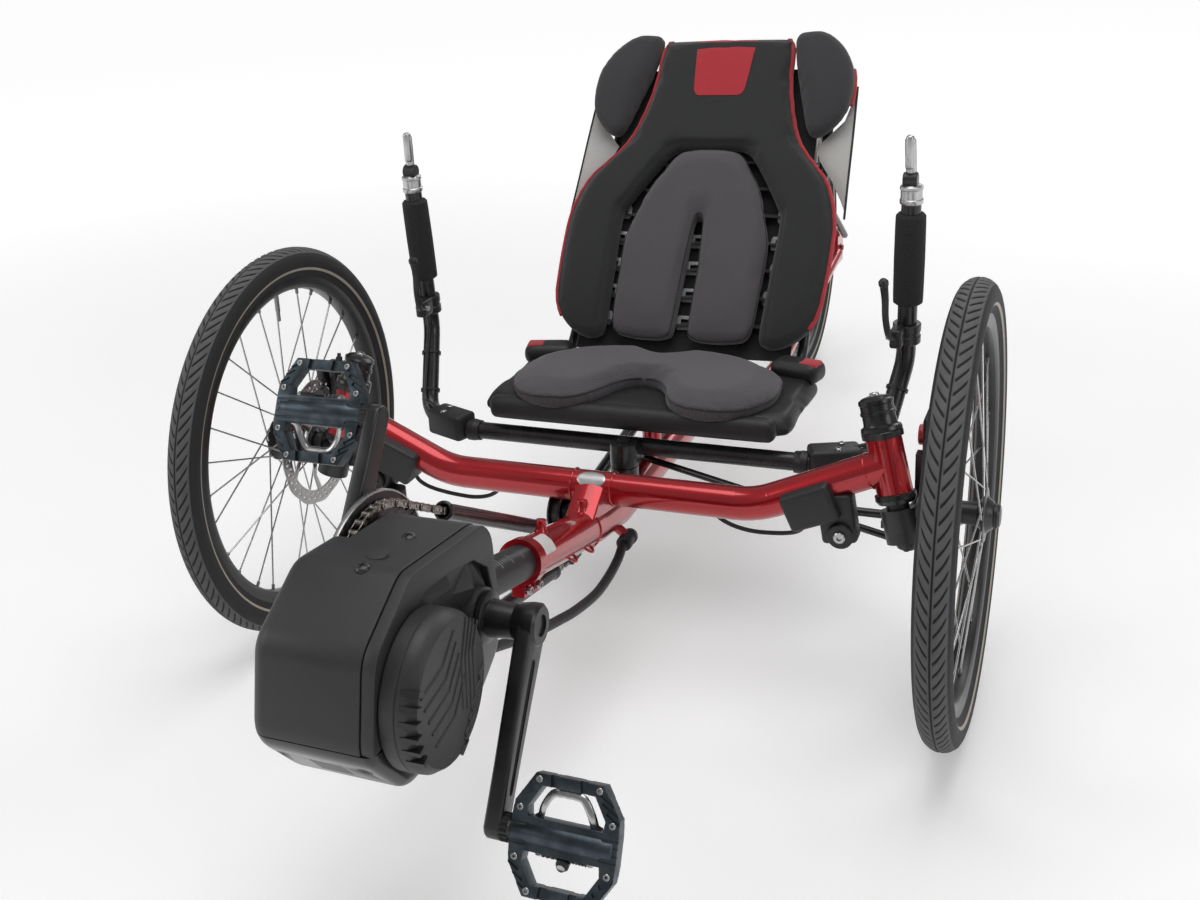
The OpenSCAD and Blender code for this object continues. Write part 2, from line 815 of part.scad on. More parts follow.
module seat_frame() {
    color(black) {
        both_sides() pipe([at(side_x, 144, rail_z), at(side_x, 318, rail_z), on_back(side_x, 30, -42),
            on_back(side_x - 12, 446, -42)], 7, 30);
        for (y = [156, 205]) bar(at(-side_x, y, rail_z), at(side_x, y, rail_z), 6);
        bar(on_back(-side_x + 12, 434, -42), on_back(side_x - 12, 434, -42), 6);
        // Struts to the rear dropouts
        both_sides() pipe([on_back(120, 433, -43), at(drop_x + 10, 800, 420),
            at(drop_x + 10, wheelbase + 2, tyre_r + 22)], 5.5, 60);
    }
}

module seat_sling() {
    color(grey) {
        translate(at(-side_x + 9, 148, rail_z + 6.4)) cube([2 * side_x - 18, 146, 3]);
        back_slab(-34.5, -31) polygon([[-side_x + 11, 2], [side_x - 11, 2],
            [side_x - 23, 440], [-side_x + 23, 440]]);
    }
}

module seat_base_pad() {
    color(black) translate(at(0, 0, rail_z + 9.6)) linear_extrude(14.1)
        polygon([[-195, 120], [-120, 108], [120, 108], [195, 120], [204, 135], [204, 285],
            [190, 297], [-190, 297], [-204, 285], [-204, 135]]);
}

module base_cushion() {
    color(grey) translate(at(0, 0, 274)) linear_extrude(24)
        polygon([[-172, 165], [-150, 120], [-100, 98], [-62, 108], [-34, 160], [0, 186],
            [34, 160], [62, 108], [100, 98], [150, 120], [172, 165], [168, 230], [120, 270],
            [60, 286], [-60, 286], [-120, 270], [-168, 230]]);
}

// The back cover is a padded shield with an opening for the grey cushion
module seat_back_pad() {
    color(black) back_slab(-30, -4) difference() {
        polygon([[-118, 14], [-166, 28], [-184, 58], [-190, 100], [-back_half, 150],
            [-192, 200], [-175, 250], [-120, 322], [-96, back_l - 4], [96, back_l - 4],
            [120, 322], [175, 250], [192, 200], [back_half, 150], [190, 100], [184, 58],
            [166, 28], [118, 14]]);
        polygon([[-113, 5], [-112, 200], [-60, 304], [60, 304], [112, 200], [113, 5]]);
    }
}

module back_cushion() {
    color(grey) back_slab(-28, 0) difference() {
        polygon([[-104, 20], [-104, 175], [-84, 240], [-44, 298], [44, 298], [84, 240],
            [104, 175], [104, 20]]);
        polygon([[-13, 10], [-5, 192], [5, 192], [13, 10]]);
    }
}

module headrest_pads() {
    color(dark) both_sides() back_slab(-26, 4)
        polygon([[101, back_l - 2], [130, back_l - 2], [165, 455], [185, 418], [185, 372],
            [163, 331], [140, 318], [125, 325]]);
}

// ---------- cables ----------

// Tube swept along the points p: one ring of sides at each point
module swept(p, r, sides) {
    n = len(p);
    rings = [for (i = [0 : n - 1]) let (
        t = unit(p[min(i + 1, n - 1)] - p[max(i - 1, 0)]),
        a = unit(cross(t, abs(t.z) < 0.9 ? [0, 0, 1] : [0, 1, 0])),
        b = cross(t, a))
        for (k = [0 : sides - 1]) p[i] + r * (a * cos(360 * k / sides) + b * sin(360 * k / sides))];
    walls = [for (i = [0 : n - 2]) for (k = [0 : sides - 1]) let (k2 = (k + 1) % sides)
        [i * sides + k, i * sides + k2, (i + 1) * sides + k2, (i + 1) * sides + k]];
    first = [for (k = [0 : sides - 1]) sides - 1 - k];
    last = [for (k = [0 : sides - 1]) (n - 1) * sides + k];
    polyhedron(points = rings, faces = concat([first], walls, [last]));
}

// The loom of motor cables, from under the cross tube to the back of the motor
loom_route = [[28, 6, 150], [30, -15, 144], [31, -40, 140], [32, -65, 139], [33, -90, 140],
    [33, -115, 143], [32, -140, 147], [31, -165, 152], [29, -190, 158], [27, -215, 164],
    [25, -240, 171], [22, -265, 178], [20, -290, 186], [18, -315, 195], [16, -340, 204],
    [15, -358, 212]];
left_loop_route = [[240, 8, 208.5], [238, 13, 199], [232, 20, 190], [223, 27, 183],
    [210, 32, 178], [194, 34, 175.5], [178, 34, 175], [162, 32, 178], [148, 29, 184],
    [138, 26, 192], [131, 24, 202]];
right_loop_route = [for (p = left_loop_route) [-p.x, p.y, p.z]];

module wiring_loom() {
    color(black) swept([for (p = loom_route) at(p.x, p.y, p.z)], 5.5, 10);
}

module left_cable_loop() {
    color(black) swept([for (p = left_loop_route) at(p.x, p.y, p.z)], 2.5, 8);
}

module right_cable_loop() {
    color(black) swept([for (p = right_loop_route) at(p.x, p.y, p.z)], 2.5, 8);
}

frame();
boom();
motor_block();
motor_cover();
motor_lower_shell();
motor_side_cover();
crankset();
chainring();
left_pedal();
right_pedal();
chain();
chain_tubes();
chain_idler();
headset_cups();
clamp_blocks();
handlebar_post();
handlebar();
bar_joint_blocks();
grips();
brake_levers();
bar_end_levers();
tie_rod();
drag_link();
left_knuckle();
left_caliper();
left_wheel();
left_tyre();
left_brake_disc();
right_knuckle();
right_caliper();
right_wheel();
right_tyre();
right_brake_disc();
rear_frame();
rear_wheel();
rear_tyre();
cassette();
derailleur();
battery();
seat_frame();
seat_sling();
seat_base_pad();
seat_back_pad();
base_cushion();
back_cushion();
headrest_pads();
wiring_loom();
left_cable_loop();
right_cable_loop();
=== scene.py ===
import math
import bmesh
import bpy
import numpy as np
from mathutils import Matrix, Vector


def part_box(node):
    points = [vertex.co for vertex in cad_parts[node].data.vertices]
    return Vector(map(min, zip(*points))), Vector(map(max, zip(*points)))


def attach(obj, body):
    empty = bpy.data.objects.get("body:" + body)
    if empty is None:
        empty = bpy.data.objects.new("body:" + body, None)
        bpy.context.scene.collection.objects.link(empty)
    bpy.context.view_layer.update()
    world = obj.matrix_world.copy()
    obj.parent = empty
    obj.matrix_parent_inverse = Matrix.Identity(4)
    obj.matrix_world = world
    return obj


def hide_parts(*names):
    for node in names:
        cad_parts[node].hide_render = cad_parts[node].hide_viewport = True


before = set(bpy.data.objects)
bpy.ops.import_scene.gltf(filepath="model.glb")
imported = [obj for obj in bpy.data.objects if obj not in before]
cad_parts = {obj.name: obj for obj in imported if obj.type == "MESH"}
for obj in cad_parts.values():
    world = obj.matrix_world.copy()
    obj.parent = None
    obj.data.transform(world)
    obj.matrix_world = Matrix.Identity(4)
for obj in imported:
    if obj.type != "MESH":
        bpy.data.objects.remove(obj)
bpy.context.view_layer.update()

# ---------- camera, floor and light ----------
# The camera stands in front of the trike, a little to the rider's left and
# above seat height. A white floor and three large soft lamps make the studio.
axle_y = sum(corner.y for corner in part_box("left_tyre")) / 2


def at(x, y, z):
    """A place in millimetres, y counted from the front axle line, as metres in the frame."""
    return Vector((x / 1000, y / 1000 + axle_y, z / 1000))


scene = bpy.context.scene
azimuth = math.radians(25.55)
elevation = math.radians(18.66)
roll = math.radians(-4.2)
forward = Vector((-math.sin(azimuth) * math.cos(elevation),
                  math.cos(azimuth) * math.cos(elevation), -math.sin(elevation)))
level = Vector((math.cos(azimuth), math.sin(azimuth), 0))
upright = level.cross(forward)
camera_x = math.cos(roll) * level + math.sin(roll) * upright
camera_y = math.cos(roll) * upright - math.sin(roll) * level
camera = bpy.data.objects.new("camera", bpy.data.cameras.new("camera"))
camera.data.sensor_width = 36
camera.data.lens = 41.86
camera.data.shift_x = 0.0822
camera.data.shift_y = -0.072
camera_place = Vector((0.5496, -1.7207, 0.8814))
camera.matrix_world = Matrix.Translation(camera_place) @ Matrix(
    (camera_x, camera_y, -forward)).transposed().to_4x4()
scene.collection.objects.link(camera)
scene.camera = camera
scene.view_settings.view_transform = "Standard"


class Wire:
    """An output socket in a tree of nodes. Arithmetic on it adds Math nodes."""

    def __init__(self, work, socket):
        self.work = work
        self.socket = socket

    def math(self, operation, other=0.0, third=0.0):
        return self.work.node("ShaderNodeMath", {"operation": operation},
                              {0: self, 1: other, 2: third})

    def __add__(self, other):
        return self.math("ADD", other)

    __radd__ = __add__

    def __sub__(self, other):
        return self.math("SUBTRACT", other)

    def __mul__(self, other):
        return self.math("MULTIPLY", other)

    __rmul__ = __mul__

    def __truediv__(self, other):
        return self.math("DIVIDE", other)

    def __rsub__(self, other):
        return self.work.node("ShaderNodeMath", {"operation": "SUBTRACT"}, {0: other, 1: self})

    def step(self, low, high):
        """Runs smoothly from 0 at low to 1 at high."""
        return self.work.node("ShaderNodeMapRange", {"interpolation_type": "SMOOTHSTEP"},
                              {0: self, 1: low, 2: high})

    def part(self, axis):
        return self.work.node("ShaderNodeSeparateXYZ", {}, {0: self}, axis)


class Nodes:
    """A tree of nodes, for a finish or for a shape."""

    def __init__(self, tree):
        self.tree = tree

    def node(self, kind, settings, values, output=0):
        """Adds a node: its settings first, then the values or links of its sockets."""
        made = self.tree.nodes.new(kind)
        for name, value in settings.items():
            setattr(made, name, value)
        for name, value in values.items():
            if isinstance(value, Wire):
                self.tree.links.new(value.socket, made.inputs[name])
            else:
                made.inputs[name].default_value = value
        return Wire(self, made.outputs[output])


class Finish(Nodes):
    """A material. Patterns are laid out in the piece's own Object coordinates."""

    def __init__(self, name, roughness=0.5, metallic=0.0, coat=0.0, **sockets):
        self.material = bpy.data.materials.new(name)
        self.material.use_nodes = True
        super().__init__(self.material.node_tree)
        self.shader = self.tree.nodes["Principled BSDF"]
        self.place = self.node("ShaderNodeTexCoord", {}, {}, "Object")
        self.set(Roughness=roughness, Metallic=metallic, Coat_Weight=coat, **sockets)

    def set(self, **sockets):
        for name, value in sockets.items():
            socket = self.shader.inputs[name.replace("_", " ")]
            if isinstance(value, Wire):
                self.tree.links.new(value.socket, socket)
            else:
                socket.default_value = value

    def moved(self, scale=(1, 1, 1), turn=(0, 0, 0), where=None):
        """The pattern's coordinates turned, then scaled."""
        turned = self.node("ShaderNodeMapping", {}, {
            "Vector": where or self.place, "Rotation": [math.radians(t) for t in turn]})
        return self.node("ShaderNodeMapping", {}, {"Vector": turned, "Scale": scale})

    def noise(self, scale, detail=2.0, where=None):
        return self.node("ShaderNodeTexNoise", {}, {
            "Vector": where or self.place, "Scale": scale, "Detail": detail})

    def mix(self, factor, a, b):
        """Colour a where the factor is 0 and b where it is 1."""
        colours = [c if isinstance(c, Wire) else (*c, 1) for c in (a, b)]
        return self.node("ShaderNodeMix", {"data_type": "RGBA"},
                         {0: factor, 6: colours[0], 7: colours[1]}, 2)

    def bump(self, height, distance, strength=1.0):
        """Raises the surface by height times the distance in metres."""
        self.set(Normal=self.node("ShaderNodeBump", {}, {
            "Height": height, "Distance": distance, "Strength": strength}))


def show(piece, material, smooth=30):
    """Gives a piece its finish, with smooth shading up to that angle between faces."""
    piece.data.materials.clear()
    piece.data.materials.append(material)
    if smooth:
        piece.data.shade_smooth()
        piece.data.set_sharp_from_angle(angle=math.radians(smooth))
    return piece


def mottled(name, roughness, scale, dark, light):
    """A plain finish whose colour drifts a little between two shades."""
    finish = Finish(name, roughness=roughness)
    finish.set(Base_Color=finish.mix(finish.noise(scale), dark, light))
    return finish


floor_finish = mottled("floor_white", 0.7, 3, (0.86, 0.86, 0.865), (0.88, 0.88, 0.88))
seen = floor_finish.node("ShaderNodeLightPath", {}, {}, "Is Camera Ray")
mirrored = floor_finish.node("ShaderNodeLightPath", {}, {}, "Is Glossy Ray")
away = floor_finish.node("ShaderNodeVectorMath", {"operation": "LENGTH"},
                         {0: floor_finish.place}, "Value")
glow = (seen + mirrored) * (0.24 + away.step(0.8, 4.2) * 0.44)
floor_finish.set(Emission_Color=floor_finish.mix(glow, (0, 0, 0), (1, 1, 1)),
                 Emission_Strength=1.0)
bpy.ops.mesh.primitive_plane_add(size=60)
floor = show(bpy.context.object, floor_finish.material, smooth=0)
floor.name = "floor"

world = bpy.data.worlds.new("studio")
world.use_nodes = True
scene.world = world
sky = Nodes(world.node_tree)
background = world.node_tree.nodes["Background"]
is_seen = sky.node("ShaderNodeLightPath", {}, {}, "Is Camera Ray")
is_mirrored = sky.node("ShaderNodeLightPath", {}, {}, "Is Glossy Ray")
world.node_tree.links.new((is_seen * 0.66 + is_mirrored * -0.04 + 0.34).socket,
                          background.inputs["Strength"])
background.inputs["Color"].default_value = (1, 1, 1, 1)


def lamp(name, place, size, power, aim=(0, -0.25, 0.25)):
    """A soft square lamp that points at the trike."""
    light = bpy.data.objects.new(name, bpy.data.lights.new(name, "AREA"))
    light.data.size = size
    light.data.energy = power
    light.location = place
    light.rotation_euler = (Vector(aim) - Vector(place)).to_track_quat("-Z", "Y").to_euler()
    scene.collection.objects.link(light)


lamp("lamp_top", (0.2, -0.4, 3.2), 2.2, 38)
lamp("lamp_left", (-2.6, -1.8, 1.9), 1.6, 22)
lamp("lamp_right", (2.8, -0.9, 1.6), 1.4, 14)
lamp("lamp_back", (0.6, 2.8, 2.2), 1.6, 18)

# ---------- cables that hang free ----------
# The motor's cables run in one braided sleeve from a plug beside the spine to the
# motor's back. A thin brake cable loops below the cross tube on each side.
loom_route = [[28, 6, 150], [30, -15, 144], [31, -40, 140], [32, -65, 139], [33, -90, 140],
              [33, -115, 143], [32, -140, 147], [31, -165, 152], [29, -190, 158],
              [27, -215, 164], [25, -240, 171], [22, -265, 178], [20, -290, 186],
              [18, -315, 195], [16, -340, 204], [15, -358, 212]]
left_loop_route = [[240, 8, 208.5], [238, 13, 199], [232, 20, 190], [223, 27, 183],
                   [210, 32, 178], [194, 34, 175.5], [178, 34, 175], [162, 32, 178],
                   [148, 29, 184], [138, 26, 192], [131, 24, 202]]
right_loop_route = [[-x, y, z] for x, y, z in left_loop_route]


def stretch(a, b, c, d, steps):
    """Points from b on towards c, on the smooth curve that comes from a and goes to d."""
    return [(2 * b + (c - a) * t + (2 * a - 5 * b + 4 * c - d) * t * t
             + (3 * b - 3 * c + d - a) * t ** 3) / 2
            for t in (k / steps for k in range(steps))]


def smooth_route(points, steps=3):
    """A curve through the points, with that many short stretches between two of them."""
    ends = [2 * points[0] - points[1], *points, 2 * points[-1] - points[-2]]
    route = []
    for a, b, c, d in zip(ends, ends[1:], ends[2:], ends[3:]):
        route += stretch(a, b, c, d, steps)
    return route + [points[-1]]


def strand(name, route, radius, material):
    """A round cord along a route, as a curve of one open spline."""
    line = bpy.data.curves.new(name, "CURVE")
    line.dimensions = "3D"
    line.bevel_depth = radius
    line.bevel_resolution = 5
    line.use_fill_caps = True
    spline = line.splines.new("POLY")
    spline.points.add(len(route) - 1)
    for point, place in zip(spline.points, route):
        point.co = (*place, 1)
    piece = bpy.data.objects.new(name, line)
    line.materials.append(material)
    scene.collection.objects.link(piece)
    return piece


cable = Finish("cable_sleeve", roughness=0.45)
braid_a = cable.node("ShaderNodeTexWave", {"bands_direction": "DIAGONAL"},
                     {"Vector": cable.place, "Scale": 260.0})
braid_b = cable.node("ShaderNodeTexWave", {"bands_direction": "DIAGONAL"},
                     {"Vector": cable.moved((-1, 1, 1)), "Scale": 260.0})
braid = braid_a * braid_b
cable.set(Base_Color=cable.mix(braid, (0.006, 0.006, 0.007), (0.028, 0.028, 0.03)))
cable.bump(braid, 0.0006)

for node, points, radius in [("wiring_loom", loom_route, 0.0055),
                             ("left_cable_loop", left_loop_route, 0.0025),
                             ("right_cable_loop", right_loop_route, 0.0025)]:
    route = smooth_route([at(*p) for p in points])
    cord = strand(node.replace("_", ".") + ".cord", route, radius, cable.material)
    length = sum((b - a).length for a, b in zip(route, route[1:]))
    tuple(route[0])
    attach(cord, "frame")
    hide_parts(node)

# ---------- frame and boom ----------
# Bent and welded tubes under deep red flake paint with a clear coat. A black
# boom with a length scale slides in the frame's sleeve and carries the motor.


def flake_paint(name, colour, dark):
    """Clear-coated paint over metal flake, with painted shade: its colour is a little darker in the
    hollows of its orange peel.
    """
    paint = Finish(name, roughness=0.3, metallic=0.7, coat=1.0, Coat_Roughness=0.03)
    drift = paint.noise(9.0, 3.0)
    flake_and_hollow_shade = paint.noise(2600.0, 0.0)
    # Painted shade: the fine flake noise that raises the bump also darkens the colour, so the
    # hollows of the orange peel are darker; the slow drift is a random tone.
    paint.set(Base_Color=paint.mix(drift * 0.6 + flake_and_hollow_shade * 0.5, dark, colour),
              Roughness=0.24 + drift * 0.14)
    paint.bump(flake_and_hollow_shade, 0.00004, 0.5)
    return paint.material


def satin_black(name, level=0.018, roughness=0.38):
    """Black anodising or powder coat, with faint wear and a fine grain."""
    coat = Finish(name, metallic=0.15, coat=0.15, Coat_Roughness=0.3)
    wear = coat.noise(38.0, 5.0)
    grain = coat.noise(2200.0, 1.0)
    light = [1.9 * level, 1.9 * level, 2.0 * level]
    coat.set(Base_Color=coat.mix(wear.step(0.35, 0.75), [level] * 3, light),
             Roughness=roughness + wear * 0.14)
    coat.bump(grain + wear * 0.4, 0.00005)
    return coat


def wear_finish(material, *nodes):
    """Gives CAD nodes their finish."""
    for name in nodes:
        show(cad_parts[name], material)


red_paint = flake_paint("frame_red", (0.56, 0.003, 0.012), (0.26, 0.001, 0.005))
wear_finish(red_paint, "frame", "rear_frame")

boom_tilt = math.radians(14)
crank_centre = at(0, -405, 280)
knee = at(0, -20, 280 - 385 * math.tan(boom_tilt))
boom_along = Vector((0, -math.cos(boom_tilt), math.sin(boom_tilt)))
boom_up = Vector((0, math.sin(boom_tilt), math.cos(boom_tilt)))
scale_paint = satin_black("boom_black", 0.022, 0.42)
ticks = scale_paint.moved((1, 1, 1), (14, 0, 0))
way = ticks.part("Y")
line = ((way * 200).math("FRACT") - 0.5).math("ABSOLUTE").math("GREATER_THAN", 0.455)
long_line = ((way * 40).math("FRACT") - 0.5).math("ABSOLUTE").math("GREATER_THAN", 0.489)
beside = scale_paint.place.part("X")
short_band = beside.math("GREATER_THAN", 0.007) * beside.math("LESS_THAN", 0.0115)
long_band = beside.math("GREATER_THAN", 0.004) * beside.math("LESS_THAN", 0.0145)
marks = (line * short_band).math("MAXIMUM", long_line * long_band)
scale_paint.set(Base_Color=scale_paint.mix(marks, (0.02, 0.02, 0.022), (0.6, 0.6, 0.6)))
wear_finish(scale_paint.material, "boom")


def mesh_piece(name, points, faces):
    """A mesh object from points and faces."""
    mesh = bpy.data.meshes.new(name)
    mesh.from_pydata([tuple(p) for p in points], [], faces)
    piece = bpy.data.objects.new(name, mesh)
    scene.collection.objects.link(piece)
    return piece


def outward(piece):
    """Merges doubled points and turns every face outwards."""
    shape = bmesh.new()
    shape.from_mesh(piece.data)
    bmesh.ops.remove_doubles(shape, verts=shape.verts, dist=0.00001)
    bmesh.ops.recalc_face_normals(shape, faces=shape.faces)
    shape.to_mesh(piece.data)
    shape.free()
    return piece


def ring_faces(rings, around, hoop=False):
    """Faces of a skin over rings of points, each closed round. Its ends are capped, or on
    a hoop the last ring joins the first."""
    faces = []
    for r in range(rings if hoop else rings - 1):
        here = r * around
        there = (r + 1) % rings * around
        for k in range(around):
            following = (k + 1) % around
            faces.append((here + k, here + following, there + following, there + k))
    if not hoop:
        faces.append(tuple(range(around))[::-1])
        faces.append(tuple((rings - 1) * around + k for k in range(around)))
    return faces


def axes_of(along):
    """Two directions square to along and to each other."""
    along = Vector(along).normalized()
    across = along.cross((0, 0, 1) if abs(along.z) < 0.9 else (0, 1, 0)).normalized()
    return across, along.cross(across)


def turned(name, profile, base, along, material, around=48):
    """A lathe part: profile lists its distance along the axis from the base and its
    radius, in millimetres, from one end to the other."""
    along = Vector(along).normalized()
    across, beside = axes_of(along)
    points = []
    for reach, radius in profile:
        for k in range(around):
            turn = 2 * math.pi * k / around
            out = across * math.cos(turn) + beside * math.sin(turn)
            points.append(Vector(base) + along * reach / 1000 + out * radius / 1000)
    piece = mesh_piece(name, points, ring_faces(len(profile), around))
    return show(outward(piece), material, 32)


def tube(name, route, radius, material, around=10, squeeze=1.0):
    """A bent round or flattened bar through points; radius is a number or one per point."""
    radii = [radius] * len(route) if isinstance(radius, (int, float)) else radius
    points = []
    across = None
    for i, place in enumerate(route):
        along = (route[min(i + 1, len(route) - 1)] - route[max(i - 1, 0)]).normalized()
        if across is None:
            across = axes_of(along)[0]
        across = (across - along * across.dot(along)).normalized()
        beside = along.cross(across)
        for k in range(around):
            turn = 2 * math.pi * k / around
            points.append(place + radii[i] * (across * math.cos(turn)
                                              + beside * math.sin(turn) * squeeze))
    piece = mesh_piece(name, points, ring_faces(len(route), around))
    return show(outward(piece), material, 40)


def joined(name, parts):
    """One piece from several, keeping each one's finish."""
    bpy.ops.object.select_all(action="DESELECT")
    for part in parts:
        part.select_set(True)
    bpy.context.view_layer.objects.active = parts[0]
    if len(parts) > 1:
        bpy.ops.object.join()
    parts[0].name = name
    parts[0].data.name = name
    return parts[0]


def settle(piece, body, slot, *nodes):
    """The piece moves with its CAD body and stands for these nodes; the slot is not used."""
    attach(piece, body)
    if nodes:
        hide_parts(*nodes)
    return piece


def on_tube(name, centre, along, up, radius, wide, tall, material, corners=32, power=2.0):
    """A badge that lies on a round tube: an oval, or squarer with a higher power."""
    across = Vector(along).cross(up)
    points = []
    rings = [(0.98, -0.0006), (1.0, 0.0), (1.0, 0.0003), (0.97, 0.0005)]
    rings += [(scale, 0.0005) for scale in (0.84, 0.68, 0.52, 0.36, 0.2, 0.06)]
    for scale, lift in rings:
        for k in range(corners):
            turn = 2 * math.pi * k / corners
            c, s = math.cos(turn), math.sin(turn)
            x = scale * wide / 2 * math.copysign(abs(c) ** (2 / power), c)
            arc = scale * tall / 2 * math.copysign(abs(s) ** (2 / power), s) / radius
            out = Vector(up) * math.cos(arc) + across * math.sin(arc)
            points.append(Vector(centre) + Vector(along) * x + out * (radius + lift))
    piece = mesh_piece(name, points, ring_faces(len(rings), corners))
    return show(outward(piece), material, 40)


def steel(name, level=0.55, roughness=0.22):
    """Bright plated or polished steel with fine scratches."""
    metal = Finish(name, metallic=1.0)
    haze = metal.noise(140.0, 4.0)
    scratch = metal.noise(900.0, 1.0, metal.moved((1, 0.06, 1)))
    dark = [0.72 * level, 0.71 * level, 0.7 * level]
    metal.set(Base_Color=metal.mix(haze, dark, [level] * 3),
              Roughness=roughness + haze * 0.12)
    metal.bump(scratch, 0.00003)
    return metal.material


bright_steel = steel("bright_steel")
badge_silver = steel("badge_silver", 0.62, 0.32)
label_white = mottled("label_white", 0.45, 90.0, (0.62, 0.61, 0.58), (0.72, 0.71, 0.69)).material

badge_lean = math.radians(38)
front_up = Vector((0, -math.sin(badge_lean), math.cos(badge_lean)))
badge = on_tube("badge", at(0, 0, 224), (1, 0, 0), front_up, 0.0191, 0.034, 0.022,
                badge_silver)
settle(badge, "frame", "lever_silver")
label = on_tube("sleeve.label", knee + boom_along * 0.172, boom_along,
                (boom_up + Vector((0.9, 0, 0))).normalized(), 0.0221, 0.03, 0.024,
                label_white, power=9.0)
settle(label, "frame", "lever_silver")

# Bosses, cable loops and clamp bolts on the sleeve, its crowned gusset, and weld beads.
frame_bits = []
for distance in (0.03, 0.15):
    foot = knee + boom_along * distance + boom_up * 0.02
    frame_bits.append(turned("boss", [(0, 7.4), (4, 6.2), (5, 5.6), (14.5, 5.6), (15.4, 5.0),
                                      (15.4, 2.6)], foot, boom_up, red_paint, 28))
for side in (-1, 1):
    for distance in (0.055, 0.105):
        start = knee + boom_along * distance
        outside = Vector((side, 0, 0)) * math.cos(0.6) - boom_up * math.sin(0.6)
        loop = [start + outside * (0.0205 + 0.0085 * math.sin(t)) + boom_along * 0.0075
                * math.cos(t) for t in np.linspace(0, math.pi, 9)]
        frame_bits.append(tube("cable_loop", loop, 0.0016, red_paint, 8))
crown = [at(0, y, z) for y, z in ((-62, 200.5), (-44, 212.4), (-28, 222.9), (-12, 233.4))]
frame_bits.append(tube("gusset_skin", crown, 0.0172, red_paint, 40, 0.2))
clips = joined("frame.bosses", frame_bits)
settle(clips, "frame", "frame_red")



def socket_screw(name, base, along, heights, radii, material=bright_steel, around=24):
    """A screw's head with a socket. The heights are of its foot, shoulder, top and the
    socket's floor; the radii are of its foot, shoulder, top, and the socket's two ends."""
    foot, shoulder, top, floor_height = heights
    profile = [(foot, 0), *zip((foot, shoulder, top, top, floor_height), radii),
               (floor_height, 0)]
    return turned(name, profile, base, along, material, around)


def round_bar(name, low, high, radius, base, along, material, around):
    """A plain round bar from low to high, in millimetres along its axis."""
    profile = [(low, 0), (low, radius), (high, radius), (high, 0)]
    return turned(name, profile, base, along, material, around)


clamp_bits = []
for distance in (0.197, 0.171):
    lug = knee + boom_along * distance - boom_up * 0.029
    clamp_bits.append(socket_screw("clamp_bolt", lug + Vector((0.0075, 0, 0)), (1, 0, 0),
                                   (0, 3.4, 4.4, 2.4), (4.6, 4.6, 4.0, 2.2, 2.2), around=20))
    clamp_bits.append(turned("clamp_nut", [(0, 0), (0, 4.4), (4, 4.4), (4.6, 2.5), (4.6, 0)],
                             lug - Vector((0.0075, 0, 0)), (-1, 0, 0), bright_steel, 6))
settle(joined("frame.clamp_bolts", clamp_bits), "frame", "lever_silver")


def weld_bead(name, centre, along, radius, material, size=0.0016):
    """A rippled weld seam round a tube."""
    across, beside = axes_of(along)
    count = 84
    route = []
    radii = []
    for k in range(count + 1):
        turn = 2 * math.pi * k / count
        route.append(Vector(centre) + radius * (across * math.cos(turn)
                                                + beside * math.sin(turn)))
        radii.append(size * (0.86 + 0.24 * abs(math.sin(turn * 21))))
    return tube(name, route, radii, material, 8)


def kingpin_way(side):
    """The direction of a kingpin, which leans in and back as it rises by 1."""
    return Vector((-side * math.tan(math.radians(15)), math.tan(math.radians(12)), 1))


welds = [weld_bead("weld", at(x, 0, 224), (1, 0, 0), 0.0188, red_paint)
         for x in (-24, 24)]
welds.append(weld_bead("weld", knee + boom_along * 0.026, boom_along, 0.0218, red_paint))
tube_rise = math.radians(23)
for side in (-1, 1):
    reach = at(side * 340, 0, 243) + kingpin_way(side).normalized() * 0.0428
    inward = Vector((-side * math.cos(tube_rise), 0, -math.sin(tube_rise)))
    welds.append(weld_bead("weld", reach + inward * 0.0215, inward, 0.0188, red_paint))
settle(joined("frame.welds", welds), "frame", "frame_red")

# ---------- motor ----------
# The pedal motor sits in a moulded case: a matt grained cover that rolls down
# the front, a cheek with cut-in facets beside a round ribbed cover, and a gloss
# lower shell with two dished recesses and a vent grille.


def moulded(name, level, roughness, grain=1500.0, depth=0.00012, blue=1.05):
    """Moulded plastic with a fine spark-eroded grain and faint handling marks."""
    plastic = Finish(name)
    grain_height = plastic.noise(grain, 2.0)
    marks = plastic.noise(26.0, 5.0)
    low = [0.85 * level, 0.86 * level, 0.88 * level * blue]
    high = [1.2 * level, 1.22 * level, 1.24 * level * blue]
    plastic.set(Base_Color=plastic.mix(marks, low, high), Roughness=roughness + marks * 0.12)
    plastic.bump(grain_height, depth)
    return plastic.material


case_grain = moulded("case_grain", 0.026, 0.4)
case_dark = moulded("case_dark", 0.010, 0.36, 1100.0)
case_gloss = moulded("case_gloss", 0.013, 0.16, 300.0, 0.00001)
cast_metal = steel("cast_metal", 0.16, 0.5)
wear_finish(cast_metal, "motor_block")

case_nodes = [(-402, 332), (-512, 345), (-560, 318), (-572, 268), (-540, 232), (-440, 226),
              (-398, 250)]


def case_outline(inset, steps=7):
    """Side outline of the motor case in metres (y, z): arcs round its corner points."""
    radius = 32 - inset
    count = len(case_nodes)
    outline = []
    for i, (y, z) in enumerate(case_nodes):
        before = case_nodes[i - 1]
        after = case_nodes[(i + 1) % count]
        first = math.atan2(z - before[1], y - before[0]) - math.pi / 2
        last = math.atan2(after[1] - z, after[0] - y) - math.pi / 2
        turn = (last - first + math.pi) % (2 * math.pi) - math.pi
        for k in range(steps):
            angle = first + turn * k / (steps - 1)
            place = at(0, y + radius * math.cos(angle), z + radius * math.sin(angle))
            outline.append((place.y, place.z))
    return outline


